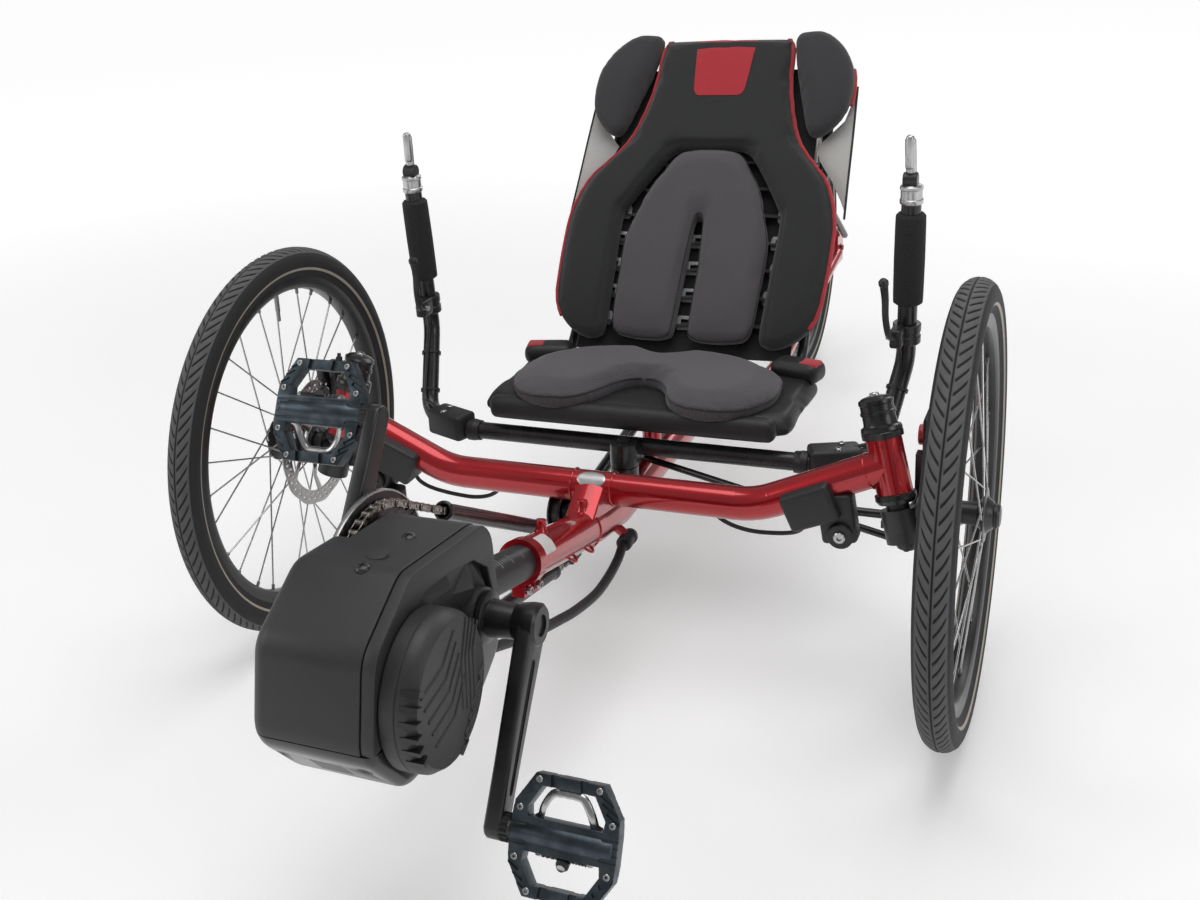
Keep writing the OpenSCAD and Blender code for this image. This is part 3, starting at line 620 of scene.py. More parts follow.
def finished(piece, *modifiers):
    """Adds modifiers by (kind, settings), and keeps their result as a plain mesh."""
    for kind, settings in modifiers:
        modifier = piece.modifiers.new(kind.lower(), kind)
        for name, value in settings.items():
            setattr(modifier, name, value)
    depsgraph = bpy.context.evaluated_depsgraph_get()
    mesh = bpy.data.meshes.new_from_object(piece.evaluated_get(depsgraph))
    piece.modifiers.clear()
    piece.data = mesh
    return piece


def carved(piece, cutters):
    """The piece with the cutters' shapes taken out of it."""
    for part in cutters:
        piece = finished(piece, ("BOOLEAN", {"object": part, "solver": "EXACT"}))
        bpy.data.objects.remove(part)
    return piece


def rounded_case(name, x1, x2, edge1, edge2, material, inset=0.0):
    """The case's outline carried from x1 to x2, with rounded edges at its two ends."""
    rings = []
    for x, edge, side in ((x1, edge1, 1), (x2, edge2, -1)):
        stations = []
        for k in range(7):
            turn = math.pi / 2 * k / 6
            stations.append((x + side * edge * (1 - math.sin(turn)), edge * (1 - math.cos(turn))))
        rings.extend(stations[::-1] if side == 1 else stations)
    rings.sort(key=lambda ring: ring[0])
    points = []
    for x, shrink in rings:
        points.extend((x / 1000, y, z) for y, z in case_outline(inset + shrink))
    around = len(case_outline(0))
    return show(outward(mesh_piece(name, points, ring_faces(len(rings), around))), material, 35)


def cut_level(piece, height, above):
    """Keeps what is above or below a level plane, and closes the cut."""
    shape = bmesh.new()
    shape.from_mesh(piece.data)
    whole = shape.verts[:] + shape.edges[:] + shape.faces[:]
    cut = bmesh.ops.bisect_plane(shape, geom=whole, plane_co=(0, 0, height),
                                 plane_no=(0, 0, 1), clear_inner=above, clear_outer=not above)
    edges = [e for e in cut["geom_cut"] if isinstance(e, bmesh.types.BMEdge)]
    bmesh.ops.contextual_create(shape, geom=edges)
    bmesh.ops.recalc_face_normals(shape, faces=shape.faces)
    shape.to_mesh(piece.data)
    shape.free()
    return piece


def plate(name, outline, x1, x2, material, holes=(), edge=0.8, steps=2):
    """A flat part across X from x1 to x2 (mm) with rounded edges. The outline and the
    holes are lists of (y, z) places in metres."""
    line = bpy.data.curves.new(name, "CURVE")
    line.dimensions = "2D"
    line.fill_mode = "BOTH"
    line.extrude = (x2 - x1) / 2000 - edge / 1000
    line.bevel_depth = edge / 1000
    line.bevel_resolution = steps
    line.offset = -edge / 1000
    for loop in (outline, *holes):
        spline = line.splines.new("POLY")
        spline.points.add(len(loop) - 1)
        spline.use_cyclic_u = True
        for point, (y, z) in zip(spline.points, loop):
            point.co = (y, z, 0, 1)
    holder = bpy.data.objects.new(name, line)
    scene.collection.objects.link(holder)
    depsgraph = bpy.context.evaluated_depsgraph_get()
    mesh = bpy.data.meshes.new_from_object(holder.evaluated_get(depsgraph))
    bpy.data.objects.remove(holder)
    mesh.transform(Matrix(((0, 0, 1, (x1 + x2) / 2000), (1, 0, 0, 0), (0, 1, 0, 0),
                           (0, 0, 0, 1))))
    piece = bpy.data.objects.new(name, mesh)
    scene.collection.objects.link(piece)
    return show(outward(piece), material, 35)


def side_points(*places):
    """Places given as (y, z) in millimetres from the front axle line."""
    return [(at(0, y, z).y, z / 1000) for y, z in places]


def chainring_bay():
    """The round space that the case leaves for the chainring."""
    return round_bar("bay", -90, -42, 108, crank_centre, (1, 0, 0), case_grain, 120)


split_height = 0.262
cover_low = split_height + 0.0004
lower_high = split_height - 0.0006


def upper_outline(inset):
    """The case's outline above the line where it parts."""
    return [(y, max(z, cover_low)) for y, z in case_outline(inset)]


cover = cut_level(rounded_case("cover", -66, 36, 15, 1.2, case_grain), cover_low, True)
cover = show(carved(cover, [chainring_bay()]), case_grain, 35)
cheek_hole = side_points((-410, 337), (-452, 347), (-500, 352), (-530, 341), (-553, 318),
                         (-562, 290), (-566, 277), (-548, 262), (-520, 262), (-372, 262),
                         (-385, 318))
cheek = plate("cheek", upper_outline(1.0), 36.6, 48, case_grain, [cheek_hole], 1.4, 3)
cheek_floor = plate("cheek_floor", upper_outline(5.0), 36.6, 40, case_dark)
facets = []
for peak, corners in [((-417, 314, 49.5), ((-412, 335), (-405, 299), (-421, 291), (-441, 318))),
                      ((-452, 331, 46), ((-448, 345), (-446, 322), (-500, 331), (-505, 345))),
                      ((-388, 300, 46), ((-402, 333), (-388, 322), (-374, 264), (-402, 290))),
                      ((-556, 270, 48.5), ((-560, 278), (-564, 265), (-540, 264), (-545, 271)))]:
    base = [at(39, *corner) for corner in corners]
    points = base + [at(peak[2], peak[0], peak[1])]
    count = len(base)
    faces = [(k, (k + 1) % count, count) for k in range(count)] + [tuple(range(count))]
    facets.append(show(outward(mesh_piece("facet", points, faces)), case_grain, 0))
motor_top = joined("motor.cover", [cover, cheek, cheek_floor, *facets])
settle(motor_top, "frame", "motor_plastic", "motor_cover")

bottom = rounded_case("lower", -66, 48, 15, 10, case_gloss)
bottom = cut_level(bottom, lower_high, False)
dishes = []
for x, y, z, wide in ((-46, -588, 240, 11), (27, -586, 239, 12)):
    bpy.ops.mesh.primitive_uv_sphere_add(segments=28, ring_count=16, location=at(x, y - 6, z - 6),
                                         scale=(wide / 1000, 0.014, 0.008),
                                         rotation=(math.radians(-42), 0, 0.2 if x > 0 else -0.2))
    bpy.ops.object.transform_apply()
    dishes.append(bpy.context.object)


def tilted_box(place, half, turn):
    """A box of these half sizes in metres, turned about X."""
    bpy.ops.mesh.primitive_cube_add(location=place, scale=half, rotation=(turn, 0, 0))
    bpy.ops.object.transform_apply()
    return bpy.context.object


grille = [tilted_box(at(-22 + column * 4.4, -585 + row * 4.3, 236 - row * 4.0),
                     (0.0016, 0.006, 0.0016), math.radians(40))
          for row in range(5) for column in range(7)]
cutter = joined("grille_cutter", grille)
bottom = carved(bottom, [*dishes, cutter, chainring_bay()])
show(bottom, case_gloss, 32)
bottom.name = "motor.lower_shell"
settle(bottom, "frame", "motor_gloss", "motor_lower_shell")

# Round cover over the motor's gearing, with raised ribs on its face.
hub_y, hub_z = -528, 282
drum = turned("drum", [(48.5, 0), (48.5, 65), (50, 66), (62, 66), (62.6, 65.2), (63.4, 65.2),
                       (64, 66), (71, 65.4), (73.6, 63.6), (78.4, 60.8), (79.8, 59.2), (80, 0)],
              at(0, hub_y, hub_z), (1, 0, 0), case_grain, 120)
axle_cut = round_bar("axle_cut", 45, 90, 30, crank_centre, (1, 0, 0), case_grain, 64)
drum = show(carved(drum, [axle_cut]), case_grain, 32)


def face_rib(places, width=0.0011, lift=80.0):
    """A thin raised line on the round cover's face."""
    route = []
    corners = [at(lift, y, z) for y, z in places]
    for a, b in zip(corners, corners[1:]):
        steps = max(2, int((b - a).length / 0.004))
        route += [a.lerp(b, k / steps) for k in range(steps)]
    return tube("rib", route + [corners[-1]], width, case_grain, 8)


ribs = []
for step in range(5):
    drop = 13 * step
    ribs.append(face_rib([(-578 + 4 * step, 306 - drop), (-540 + 3 * step, 312 - drop),
                          (-517 + 3 * step, 332 - drop * 0.9)]))
for step in range(4):
    ribs.append(face_rib([(-512 + 7 * step, 258 - 4 * step), (-508 + 7 * step, 300),
                          (-494 + 6 * step, 332 - 4 * step)]))
for step in range(5):
    y, z = -474 - 8 * step, 266 - 9 * step
    ribs.append(face_rib([(y + 3, z + 9), (y - 6, z + 5), (y - 4, z - 3), (y - 16, z - 9)], 0.0016))
for step in range(6):
    angle = math.radians(150 + 11 * step)
    place = at(75, hub_y + 62 * math.cos(angle), hub_z + 62 * math.sin(angle))
    ribs.append(show(tilted_box(place, (0.008, 0.0042, 0.0021), angle), case_dark, 0))
settle(joined("motor.side_cover", [drum, *ribs]), "frame", "motor_plastic", "motor_side_cover")


def dome_screw(name, base, along, material, radius=6.0):
    """A domed screw with a cross recess."""
    along = Vector(along).normalized()
    rise = 0.5 * radius
    dome = [(rise * math.sin(t), radius * math.cos(t)) for t in np.linspace(0, 1.45, 8)]
    head = turned(name, [(-1, radius), *dome, (rise, 0)], base, along, material, 36)
    cutters = []
    for way in axes_of(along):
        slot = tilted_box((0, 0, 0), (0.00055, radius * 0.55 / 1000, 0.0012), 0)
        turn = Matrix((way, along.cross(way), along)).transposed().to_4x4()
        slot.data.transform(Matrix.Translation(Vector(base) + along * rise / 1000) @ turn)
        cutters.append(slot)
    return show(carved(head, cutters), material, 32)


case_up = Vector((0, -0.118, 0.993))
screw_black = satin_black("screw_black", 0.02, 0.22).material
studs = [dome_screw("screw", at(3, -518, 376.4), case_up, screw_black, 6.6),
         dome_screw("screw", at(5, -444, 368.9), case_up, screw_black, 6.6),
         turned("plug", [(-1, 9.2), (2.2, 9.2), (3.2, 8.6), (3.5, 7.4), (3.3, 0)],
                at(3, -493, 374.4), case_up, case_grain, 48)]
settle(joined("motor.cover_screws", studs), "frame", "motor_plastic")

# ---------- cranks and chainring ----------
# Forged black crank arms with softened edges on a steel axle, each with a
# recessed bolt. The chainring has a spider of five arms and a guard ring.
crank_black = satin_black("crank_black", 0.011, 0.26)
crank_paint = crank_black.material
crank_rest = math.radians(35)
crank_down = Vector((0, -math.sin(crank_rest), -math.cos(crank_rest)))
crank_length = 0.168


def arm_outline(way, points):
    """An outline that leaves the crank axle one way: (along, beside) in millimetres."""
    beside = Vector((0, -way.z, way.y))
    laid = []
    for along, off in points:
        place = crank_centre + way * along / 1000 + beside * off / 1000
        laid.append((place.y, place.z))
    return laid


def round_end(reach, radius, first, last, steps=12):
    return [(reach + radius * math.cos(t), radius * math.sin(t))
            for t in np.linspace(math.radians(first), math.radians(last), steps)]


def crank_arm():
    """The arm of the rider's left side."""
    shape = arm_outline(crank_down, round_end(0, 18.5, 95, 265) + [(60, -15.5), (120, -13.2)]
                        + round_end(167, 13.2, -70, 70, 9) + [(120, 13.2), (60, 15.5)])
    arm = plate("arm", shape, 88, 103.6, crank_paint, (), 3.6, 4)
    boss = turned("boss", [(82, 0), (82, 15), (86, 17.5), (96, 19.4), (103, 19.4), (105.6, 16.8),
                           (105.8, 0)], crank_centre, (1, 0, 0), crank_paint, 56)
    groove_shape = arm_outline(crank_down, round_end(34, 4.6, 90, 270)
                               + round_end(140, 3.6, -90, 90))
    groove = plate("groove", groove_shape, 101.8, 108, crank_paint, (), 0.9, 2)
    socket = round_bar("socket", 100.6, 107, 9.8, crank_centre, (1, 0, 0), crank_paint, 40)
    arm = carved(arm, [groove])
    boss = carved(boss, [socket])
    bolt = socket_screw("bolt", crank_centre, (1, 0, 0), (99, 102.6, 103.2, 100.4),
                        (9, 9, 8.4, 4.2, 4.2), screw_black, 36)
    eye = crank_centre + crank_down * crank_length
    washer = turned("washer", [(103.2, 0), (103.2, 9.2), (108.4, 9.2), (109, 8.4), (109, 0)], eye,
                    (1, 0, 0), bright_steel, 36)
    spindle = turned("spindle", [(100, 4.5), (200, 4.2)], eye, (1, 0, 0), bright_steel, 20)
    return [show(arm, crank_paint, 35), show(boss, crank_paint, 35), bolt, washer, spindle]


def mirrored(piece, name, flip=Matrix.Diagonal((-1, 1, 1, 1))):
    """The same part on the other side of the trike."""
    copy = bpy.data.objects.new(name, piece.data.copy())
    scene.collection.objects.link(copy)
    copy.data.transform(flip)
    copy.data.flip_normals()
    return copy


half_turn = (Matrix.Translation(crank_centre) @ Matrix.Rotation(math.pi, 4, "X")
             @ Matrix.Diagonal((-1, 1, 1, 1)) @ Matrix.Translation(-crank_centre))


left_arm = crank_arm()
crank_axle = turned("axle", [(-93, 12), (93, 12)], crank_centre, (1, 0, 0), bright_steel, 32)
shoulder = turned("bearing_cap", [(50.4, 0), (50.4, 21), (52, 23.5), (56, 23.5), (57, 22),
                                  (58, 17), (82, 15.5), (82, 0)], crank_centre, (1, 0, 0),
                  crank_paint, 48)
right_arm = [mirrored(part, part.name, half_turn) for part in left_arm]
settle(joined("crank.arms", [*left_arm, *right_arm, crank_axle, shoulder]), "crankset",
       "crank_black", "crankset")

chain_x = -52
ring_teeth = 44


def circle_at(centre, radius, steps=72):
    """An outline (y, z) in metres round a centre. The radius, in millimetres, may be
    several that take turns, as on teeth."""
    radii = radius if isinstance(radius, tuple) else (radius,)
    outline = []
    for k in range(steps):
        turn = 2 * math.pi * k / steps
        reach = radii[k % len(radii)] / 1000
        outline.append((centre.y + reach * math.cos(turn), centre.z + reach * math.sin(turn)))
    return outline


teeth = circle_at(crank_centre, (85.2, 86.8, 92.0, 86.8), ring_teeth * 4)
ring = plate("ring", teeth, chain_x - 1.2, chain_x + 1.2, crank_paint,
             [circle_at(crank_centre, 69)], 0.3, 1)
guard = plate("guard", circle_at(crank_centre, 100, 120), chain_x - 9, chain_x - 6.6, crank_paint,
              [circle_at(crank_centre, 60)], 0.6, 2)
guard_edge = plate("guard_edge", circle_at(crank_centre, 101, 120), chain_x - 10.4,
                   chain_x - 5.6, bright_steel, [circle_at(crank_centre, 99.2, 120)], 0.3, 1)
spider = []
for k in range(5):
    turn = 2 * math.pi * k / 5 + 0.3
    out = Vector((0, math.cos(turn), math.sin(turn)))
    corners = arm_outline(out, [(14, 14), (40, 8), (70, 9), (76, 6), (76, -6), (70, -9), (40, -8),
                                (14, -14)])
    spider.append(plate("spider", corners, chain_x - 7.4, chain_x - 1.4, crank_paint, (), 1.0, 2))
    bolt_base = crank_centre + out * 0.0705
    spider.append(turned("ring_bolt", [(-61.4, 0), (-61.4, 3.4), (-60.4, 5.0), (-50, 5.0),
                                       (-50, 0)], bolt_base, (1, 0, 0), bright_steel, 20))
ring_hub = plate("ring_hub", circle_at(crank_centre, 22), chain_x - 9, chain_x + 2, crank_paint,
                 [circle_at(crank_centre, 12.2)], 0.8, 2)
settle(joined("chainring.set", [ring, guard, guard_edge, ring_hub, *spider]), "crankset",
       "crank_black", "chainring")

# ---------- pedals ----------
# Machined aluminium cage pedals, blue-grey anodised: a six-sided frame with
# stepped edges, eight pins and grooved shoulders a side, and a sprung cleat bail.
slate = Finish("pedal_slate", metallic=0.85)
brushed = slate.noise(600.0, 2.0, slate.moved((0.12, 1, 1)))
rub = slate.noise(70.0, 4.0)
slate.set(Base_Color=slate.mix(rub.step(0.3, 0.8), (0.045, 0.058, 0.068), (0.085, 0.105, 0.12)),
          Roughness=0.3 + brushed * 0.16)
slate.bump(brushed, 0.00003)
spring_black = satin_black("spring_black", 0.015, 0.25).material

pedal_rim = [(-30, 50), (30, 50), (46, 25), (47, 12), (47, -12), (46, -25), (30, -50), (-30, -50),
             (-46, -25), (-47, -12), (-47, 12), (-46, 25)]
pedal_windows = [[(x, side * y) for x, y in ((-33, 14), (-34, 22), (-23, 40), (23, 40), (34, 22),
                                             (33, 14))] for side in (1, -1)]


def flat_shape(name, outline, thick, material, holes=(), edge=0.7):
    """A plate in the pedal's own plane, centred on it; sizes in millimetres."""
    made = plate(name, [(x / 1000, y / 1000) for x, y in outline], -thick / 2, thick / 2,
                 material, [[(x / 1000, y / 1000) for x, y in hole] for hole in holes], edge)
    made.data.transform(Matrix(((0, 1, 0, 0), (0, 0, 1, 0), (1, 0, 0, 0), (0, 0, 0, 1))))
    return made


def block(name, centre, size, turn, material):
    """A small box in millimetres, turned about Z in degrees."""
    bpy.ops.mesh.primitive_cube_add(size=0.001)
    made = bpy.context.object
    made.name = name
    made.data.transform(Matrix.Translation(Vector(centre) / 1000)
                        @ Matrix.Rotation(math.radians(turn), 4, "Z")
                        @ Matrix.Diagonal((*size, 1)))
    return show(made, material, 0)


def pedal_parts():
    """A pedal about its own middle: x along its spindle, z out of its tread."""
    cage = flat_shape("cage", pedal_rim, 15, slate.material, pedal_windows, 0.9)
    cuts = []
    for face in (-1, 1):
        for side in (-1, 1):
            for x in (-13, 13):
                cuts.append(block("cut", (x, 46 * side, 7.6 * face), (6.5, 14, 6), 8 * side,
                                  slate.material))
            for end in (-1, 1):
                for y in (24.5, 32, 39.5):
                    x = 46.5 - (y - 24) * 0.62
                    cuts.append(block("cut", (end * (x - 3), side * y, 8.0 * face),
                                      (19, 3.6, 4.2), -side * end * 30, slate.material))
                for y in (3.2, 8.6):
                    cuts.append(block("cut", (end * 42, side * y, 8.2 * face), (20, 1.9, 3.2), 0,
                                      slate.material))
    cage = show(carved(cage, [joined("cuts", cuts)]), slate.material, 25)
    barrel = turned("barrel", [(-47, 9.8), (-34, 9.8), (-32, 11), (32, 11), (34, 9.8), (42, 9.8),
                               (43, 8.6), (43, 0)], (0, 0, 0), (1, 0, 0), slate.material, 40)
    collar = []
    for k in range(18):
        turn = 2 * math.pi * k / 18
        collar.append(block("rib", (-52.2, 11.4 * math.cos(turn), 11.4 * math.sin(turn)),
                            (7.4, 1.6, 1.6), 0, spring_black))
    nut = turned("nut", [(-57, 4.6), (-57, 9.4), (-56, 11.2), (-48.6, 11.2), (-47.4, 10),
                         (-46, 10)], (0, 0, 0), (1, 0, 0), spring_black, 36)
    coil = []
    for side in (-1, 1):
        route = [Vector((side * (5 + 15 * t / 60), -13 + 4.3 * math.cos(t * 0.95),
                         -2.5 + 4.3 * math.sin(t * 0.95))) / 1000 for t in range(60)]
        coil.append(tube("coil", route, 0.0009, spring_black, 7))
        coil.append(round_bar("coil_end", 21, 24.5, 4.8, (0, -0.013, -0.0025), (side, 0, 0),
                              bright_steel, 24))
    knob = turned("tension", [(-6, 0), (-6, 5.4), (3, 5.8), (5.5, 4), (5.5, 0)],
                  (0, -0.019, -0.001), (0, -0.5, 0.85), spring_black, 24)
    screw = turned("tension_screw", [(4, 3.6), (6.6, 3.6), (6.9, 2.8), (6.9, 0)],
                   (0, -0.019, -0.001), (0, -0.5, 0.85), bright_steel, 20)
    bail = []
    for end in (-1, 1):
        legs = [(28, 12, -3), (24, 15, 0), (21, 24, 3.5), (14, 35, 5), (6, 37, 5), (0, 37, 5)]
        route = smooth_route([Vector((end * x, y, z)) / 1000 for x, y, z in legs], 4)
        bail.append(tube("bail", route, 0.0036, bright_steel, 10, 0.42))
    return [cage, barrel, nut, *collar, *coil, knob, screw, *bail]


class Shape(Nodes):
    """A Geometry Nodes tree with named sizes, whose result becomes a plain mesh."""

    def __init__(self, name, **sizes):
        self.name = name
        self.sizes = sizes
        super().__init__(bpy.data.node_groups.new(name, "GeometryNodeTree"))
        for size, value in sizes.items():
            kind = {int: "Int", float: "Float"}.get(type(value), "Object")
            self.tree.interface.new_socket(size, in_out="INPUT",
                                           socket_type="NodeSocket" + kind)
        self.tree.interface.new_socket("Result", in_out="OUTPUT",
                                       socket_type="NodeSocketGeometry")
        self.inputs = self.tree.nodes.new("NodeGroupInput")

    def size(self, name):
        return Wire(self, self.inputs.outputs[name])

    def vector(self, x, y, z):
        return self.node("ShaderNodeCombineXYZ", {}, {0: x, 1: y, 2: z})

    def from_object(self, name):
        """The geometry of the object handed in under that name."""
        return self.node("GeometryNodeObjectInfo", {}, {"Object": self.size(name)}, "Geometry")

    def made(self, geometry, material):
        """Realizes the instances, sets the finish and returns the result as a piece."""
        real = self.node("GeometryNodeRealizeInstances", {}, {0: geometry})
        if material:
            real = self.node("GeometryNodeSetMaterial", {}, {0: real, "Material": material})
        self.tree.links.new(real.socket, self.tree.nodes.new("NodeGroupOutput").inputs[0])
        piece = mesh_piece(self.name, [], [])
        modifier = piece.modifiers.new(self.name, "NODES")
        modifier.node_group = self.tree
        for socket in self.tree.interface.items_tree:
            if socket.name in self.sizes:
                modifier[socket.identifier] = self.sizes[socket.name]
        return finished(piece)


def set_on(name, thing, places, directions, material):
    """Copies of one small part, its Z turned along each direction, at each place."""
    ground = mesh_piece("places", places, [])
    way = ground.data.attributes.new("way", "FLOAT_VECTOR", "POINT")
    way.data.foreach_set("vector", [c for d in directions for c in d])
    shape = Shape(name, Thing=thing, Places=ground)
    turn = shape.node("FunctionNodeAlignRotationToVector", {"axis": "Z"}, {
        "Vector": shape.node("GeometryNodeInputNamedAttribute", {"data_type": "FLOAT_VECTOR"},
                             {"Name": "way"})})
    points = shape.node("GeometryNodeMeshToPoints", {}, {"Mesh": shape.from_object("Places")})
    piece = shape.made(shape.node("GeometryNodeInstanceOnPoints", {}, {
        "Points": points, "Instance": shape.from_object("Thing"), "Rotation": turn}), material)
    bpy.data.objects.remove(ground)
    bpy.data.objects.remove(thing)
    return show(piece, material, 35)


pin_spots = [(x * sx, y * sy) for x, y in ((40.5, 20), (26.5, 45)) for sx in (-1, 1)
             for sy in (-1, 1)]
pin = turned("pin", [(-2, 2.9), (0.6, 2.9), (1.0, 2.5), (1.0, 1.2), (0, 1.1), (0, 0)], (0, 0, 0),
             (0, 0, 1), bright_steel, 20)
pins = set_on("pins", pin, [(x / 1000, y / 1000, face * 0.0075) for x, y in pin_spots
                            for face in (-1, 1)],
              [(0, 0, face) for _ in pin_spots for face in (-1, 1)], bright_steel)
pedal = pedal_parts() + [pins]
pedal_place = (Matrix.Translation(crank_centre + crank_down * crank_length + Vector((0.158, 0, 0)))
               @ Matrix.Rotation(math.radians(62), 4, "X"))
for part in pedal:
    part.data.transform(pedal_place)
left_pedal = joined("pedal.left", pedal)
right_pedal = mirrored(left_pedal, "pedal.right", half_turn)
settle(left_pedal, "left_pedal", "pedal_slate", "left_pedal")
settle(right_pedal, "right_pedal", "pedal_slate", "right_pedal")

# ---------- chain, chain tubes and idler ----------
# Half-inch roller chain, lightly oiled. It runs over the chainring, under an
# idler by the cross tube and back to the cassette, in stiff black plastic tubes.
chain_wheels = [((-405, 280), -89), ((14, 181), 24), ((1050, 243), -30), ((1062, 168), 22),
                ((1036, 112), -22), ((30, 122), -14)]


def heading(a, b):
    """Direction of the chain's straight run from wheel a to wheel b."""
    across = b[0][0] - a[0][0]
    rise = b[0][1] - a[0][1]
    return math.atan2(rise, across) + math.asin((a[1] - b[1]) / math.hypot(across, rise))


def on_rim(wheel, angle):
    (y, z), radius = wheel
    return at(chain_x, y + radius * math.sin(angle), z - radius * math.cos(angle))


chain_runs = []
chain_route = []
for i, wheel in enumerate(chain_wheels):
    following = chain_wheels[(i + 1) % 6]
    start = heading(chain_wheels[i - 1], wheel)
    leaving = heading(wheel, following)
    way = -1 if wheel[1] < 0 else 1
    sweep = way * ((way * (leaving - start)) % (2 * math.pi))
    steps = max(2, int(abs(sweep) / 0.05))
    chain_route += [on_rim(wheel, start + sweep * k / steps) for k in range(steps + 1)]
    chain_runs.append((on_rim(wheel, leaving), on_rim(following, leaving)))


def spaced(route, pitch):
    """Places at an even pitch along a closed route, an even number of them."""
    loop = np.array([tuple(p) for p in route + [route[0]]])
    reach = np.concatenate([[0], np.cumsum(np.linalg.norm(np.diff(loop, axis=0), axis=1))])
    count = 2 * round(reach[-1] / pitch / 2)
    marks = np.linspace(0, reach[-1], count, endpoint=False)
    return [Vector([np.interp(m, reach, loop[:, axis]) for axis in range(3)]) for m in marks]


chain_oiled = Finish("chain_oiled", metallic=1.0)
oil = chain_oiled.noise(420.0, 3.0)
chain_oiled.set(Base_Color=chain_oiled.mix(oil.step(0.35, 0.7), (0.42, 0.40, 0.37),
                                           (0.16, 0.14, 0.12)), Roughness=0.2 + oil * 0.2)
chain_oiled.bump(oil, 0.00006)
link_steel = chain_oiled.material

joints = spaced(chain_route, 12.7 / 1000)
pitch = (joints[1] - joints[0]).length * 1000
middles = []
directions = []
for here, there in zip(joints, joints[1:] + joints[:1]):
    middles.append((here + there) / 2)
    directions.append((there - here).normalized())
half_pitch = pitch / 2
eight = []
for end in (1, -1):
    for t in np.linspace(-2.2, 2.2, 9):
        eight.append((end * 4.2 * math.sin(t) / 1000,
                      end * (half_pitch + 4.2 * math.cos(t)) / 1000))
links = []
for inner in (0, 1):
    parts = []
    for side in (-1, 1):
        near, far = ((3.3, 4.4), (2.0, 3.1))[inner]
        parts.append(plate("side_plate", eight, min(side * near, side * far),
                           max(side * near, side * far), link_steel, (), 0.22, 1))
    for end in (-1, 1):
        width, radius = (2.1, 3.9) if inner else (5.0, 1.9)
        parts.append(round_bar("roller", -width, width, radius, (0, 0, end * half_pitch / 1000),
                               (1, 0, 0), link_steel, 14))
    link = joined("link", parts)
    links.append(set_on("links", link, middles[inner::2], directions[inner::2], link_steel))
chain = joined("chain.links", links)
settle(chain, "frame", "chain_steel", "chain")

tube_plastic = moulded("tube_plastic", 0.016, 0.2, 260.0, 0.00002)
sleeves = []
for run, start, stop in ((0, 0.24, 0.86), (1, 0.1, 0.62), (4, 0.32, 0.93), (5, 0.1, 0.8)):
    first = chain_runs[run][0].lerp(chain_runs[run][1], start)
    last = chain_runs[run][0].lerp(chain_runs[run][1], stop)
    long = (last - first).length * 1000
    mouth = [(30, 6.2), (2, 6.4), (0, 7.4), (-0.5, 8.8), (0.5, 10.2), (3, 10.4), (7, 9.0),
             (10, 8.5)]
    profile = mouth + [(long - reach, radius) for reach, radius in mouth[::-1]]
    sleeves.append(turned("sleeve", profile, first, last - first, tube_plastic, 32))
settle(joined("chain.tubes", sleeves), "frame", "tube_plastic", "chain_tubes")

idler_black = satin_black("idler_black", 0.02, 0.34).material
wear_finish(idler_black, "chain_idler")
rollers = []
for y, z, radius in ((14, 181, 24), (30, 122, 14)):
    base = at(chain_x, y, z)
    groove = radius - 4.4
    rollers.append(turned("roller", [(-7, 0), (-7, radius + 1), (-5, radius + 1.4),
                                     (-3.2, groove), (3.2, groove), (5, radius + 1.4),
                                     (7, radius + 1), (7, 0)], base, (1, 0, 0), idler_black, 48))
    rollers.append(turned("bolt", [(-10.5, 0), (-10.5, 3.4), (-9.6, 4.6), (-7, 4.6), (-7, 0)], base,
                          (1, 0, 0), bright_steel, 6))
settle(joined("chain_idler.rollers", rollers), "frame", "gloss_black")

# ---------- headset cups and clamp blocks ----------
# Gloss anodised steering bearings press into the frame's head tubes. Moulded
# clamp blocks on the cross tube hold accessories; one carries a short post.
headset_black = satin_black("headset_black", 0.012, 0.16).material
cups = []
for side in (-1, 1):
    pin_up = kingpin_way(side)
    hub_point = at(side * 340, 0, 243)
    low_end = hub_point + pin_up * 0.013
    high_end = hub_point + pin_up * 0.069
    cups.append(turned("upper_cup", [(0, 0), (-0.4, 20), (0.4, 21.6), (6.4, 21.9), (7.4, 21.2),
                                     (8.2, 21.9), (12, 21.2), (13.5, 18.4), (15, 17.6),
                                     (25, 17.2), (25.6, 18.6), (28.5, 18.6), (29.2, 17.6),
                                     (36, 17.4), (37, 18.4), (40.6, 18.2), (43.5, 14), (45, 8),
                                     (45.2, 0)], high_end, pin_up, headset_black, 56))
    cups.append(turned("lower_cup", [(0, 0), (0.3, 20), (-0.5, 21.4), (-6, 21.6), (-8, 20.4),
                                     (-10.4, 19), (-11, 17), (-11, 0)], low_end, pin_up,
                       headset_black, 56))
    cups.append(socket_screw("cap_bolt", high_end, pin_up, (44, 47.2, 48.2, 46),
                             (5.2, 5.0, 4.2, 2.4, 2.3), around=28))
settle(joined("headset.cups", cups), "frame", "gloss_black", "headset_cups")

block_plastic = moulded("block_plastic", 0.017, 0.42, 900.0, 0.0002)


def soft_box(name, centre, size, turn, axis, width, material, segments=3):
    """A box in millimetres, turned about one axis, with its edges rounded."""
    bpy.ops.mesh.primitive_cube_add(size=0.001)
    made = bpy.context.object
    made.name = name
    made.data.transform(Matrix.Diagonal((*size, 1)))
    finished(made, ("BEVEL", {"width": width / 1000, "segments": segments}))
    made.data.transform(Matrix.Translation(centre) @ Matrix.Rotation(math.radians(turn), 4, axis))
    return show(made, material, 35)


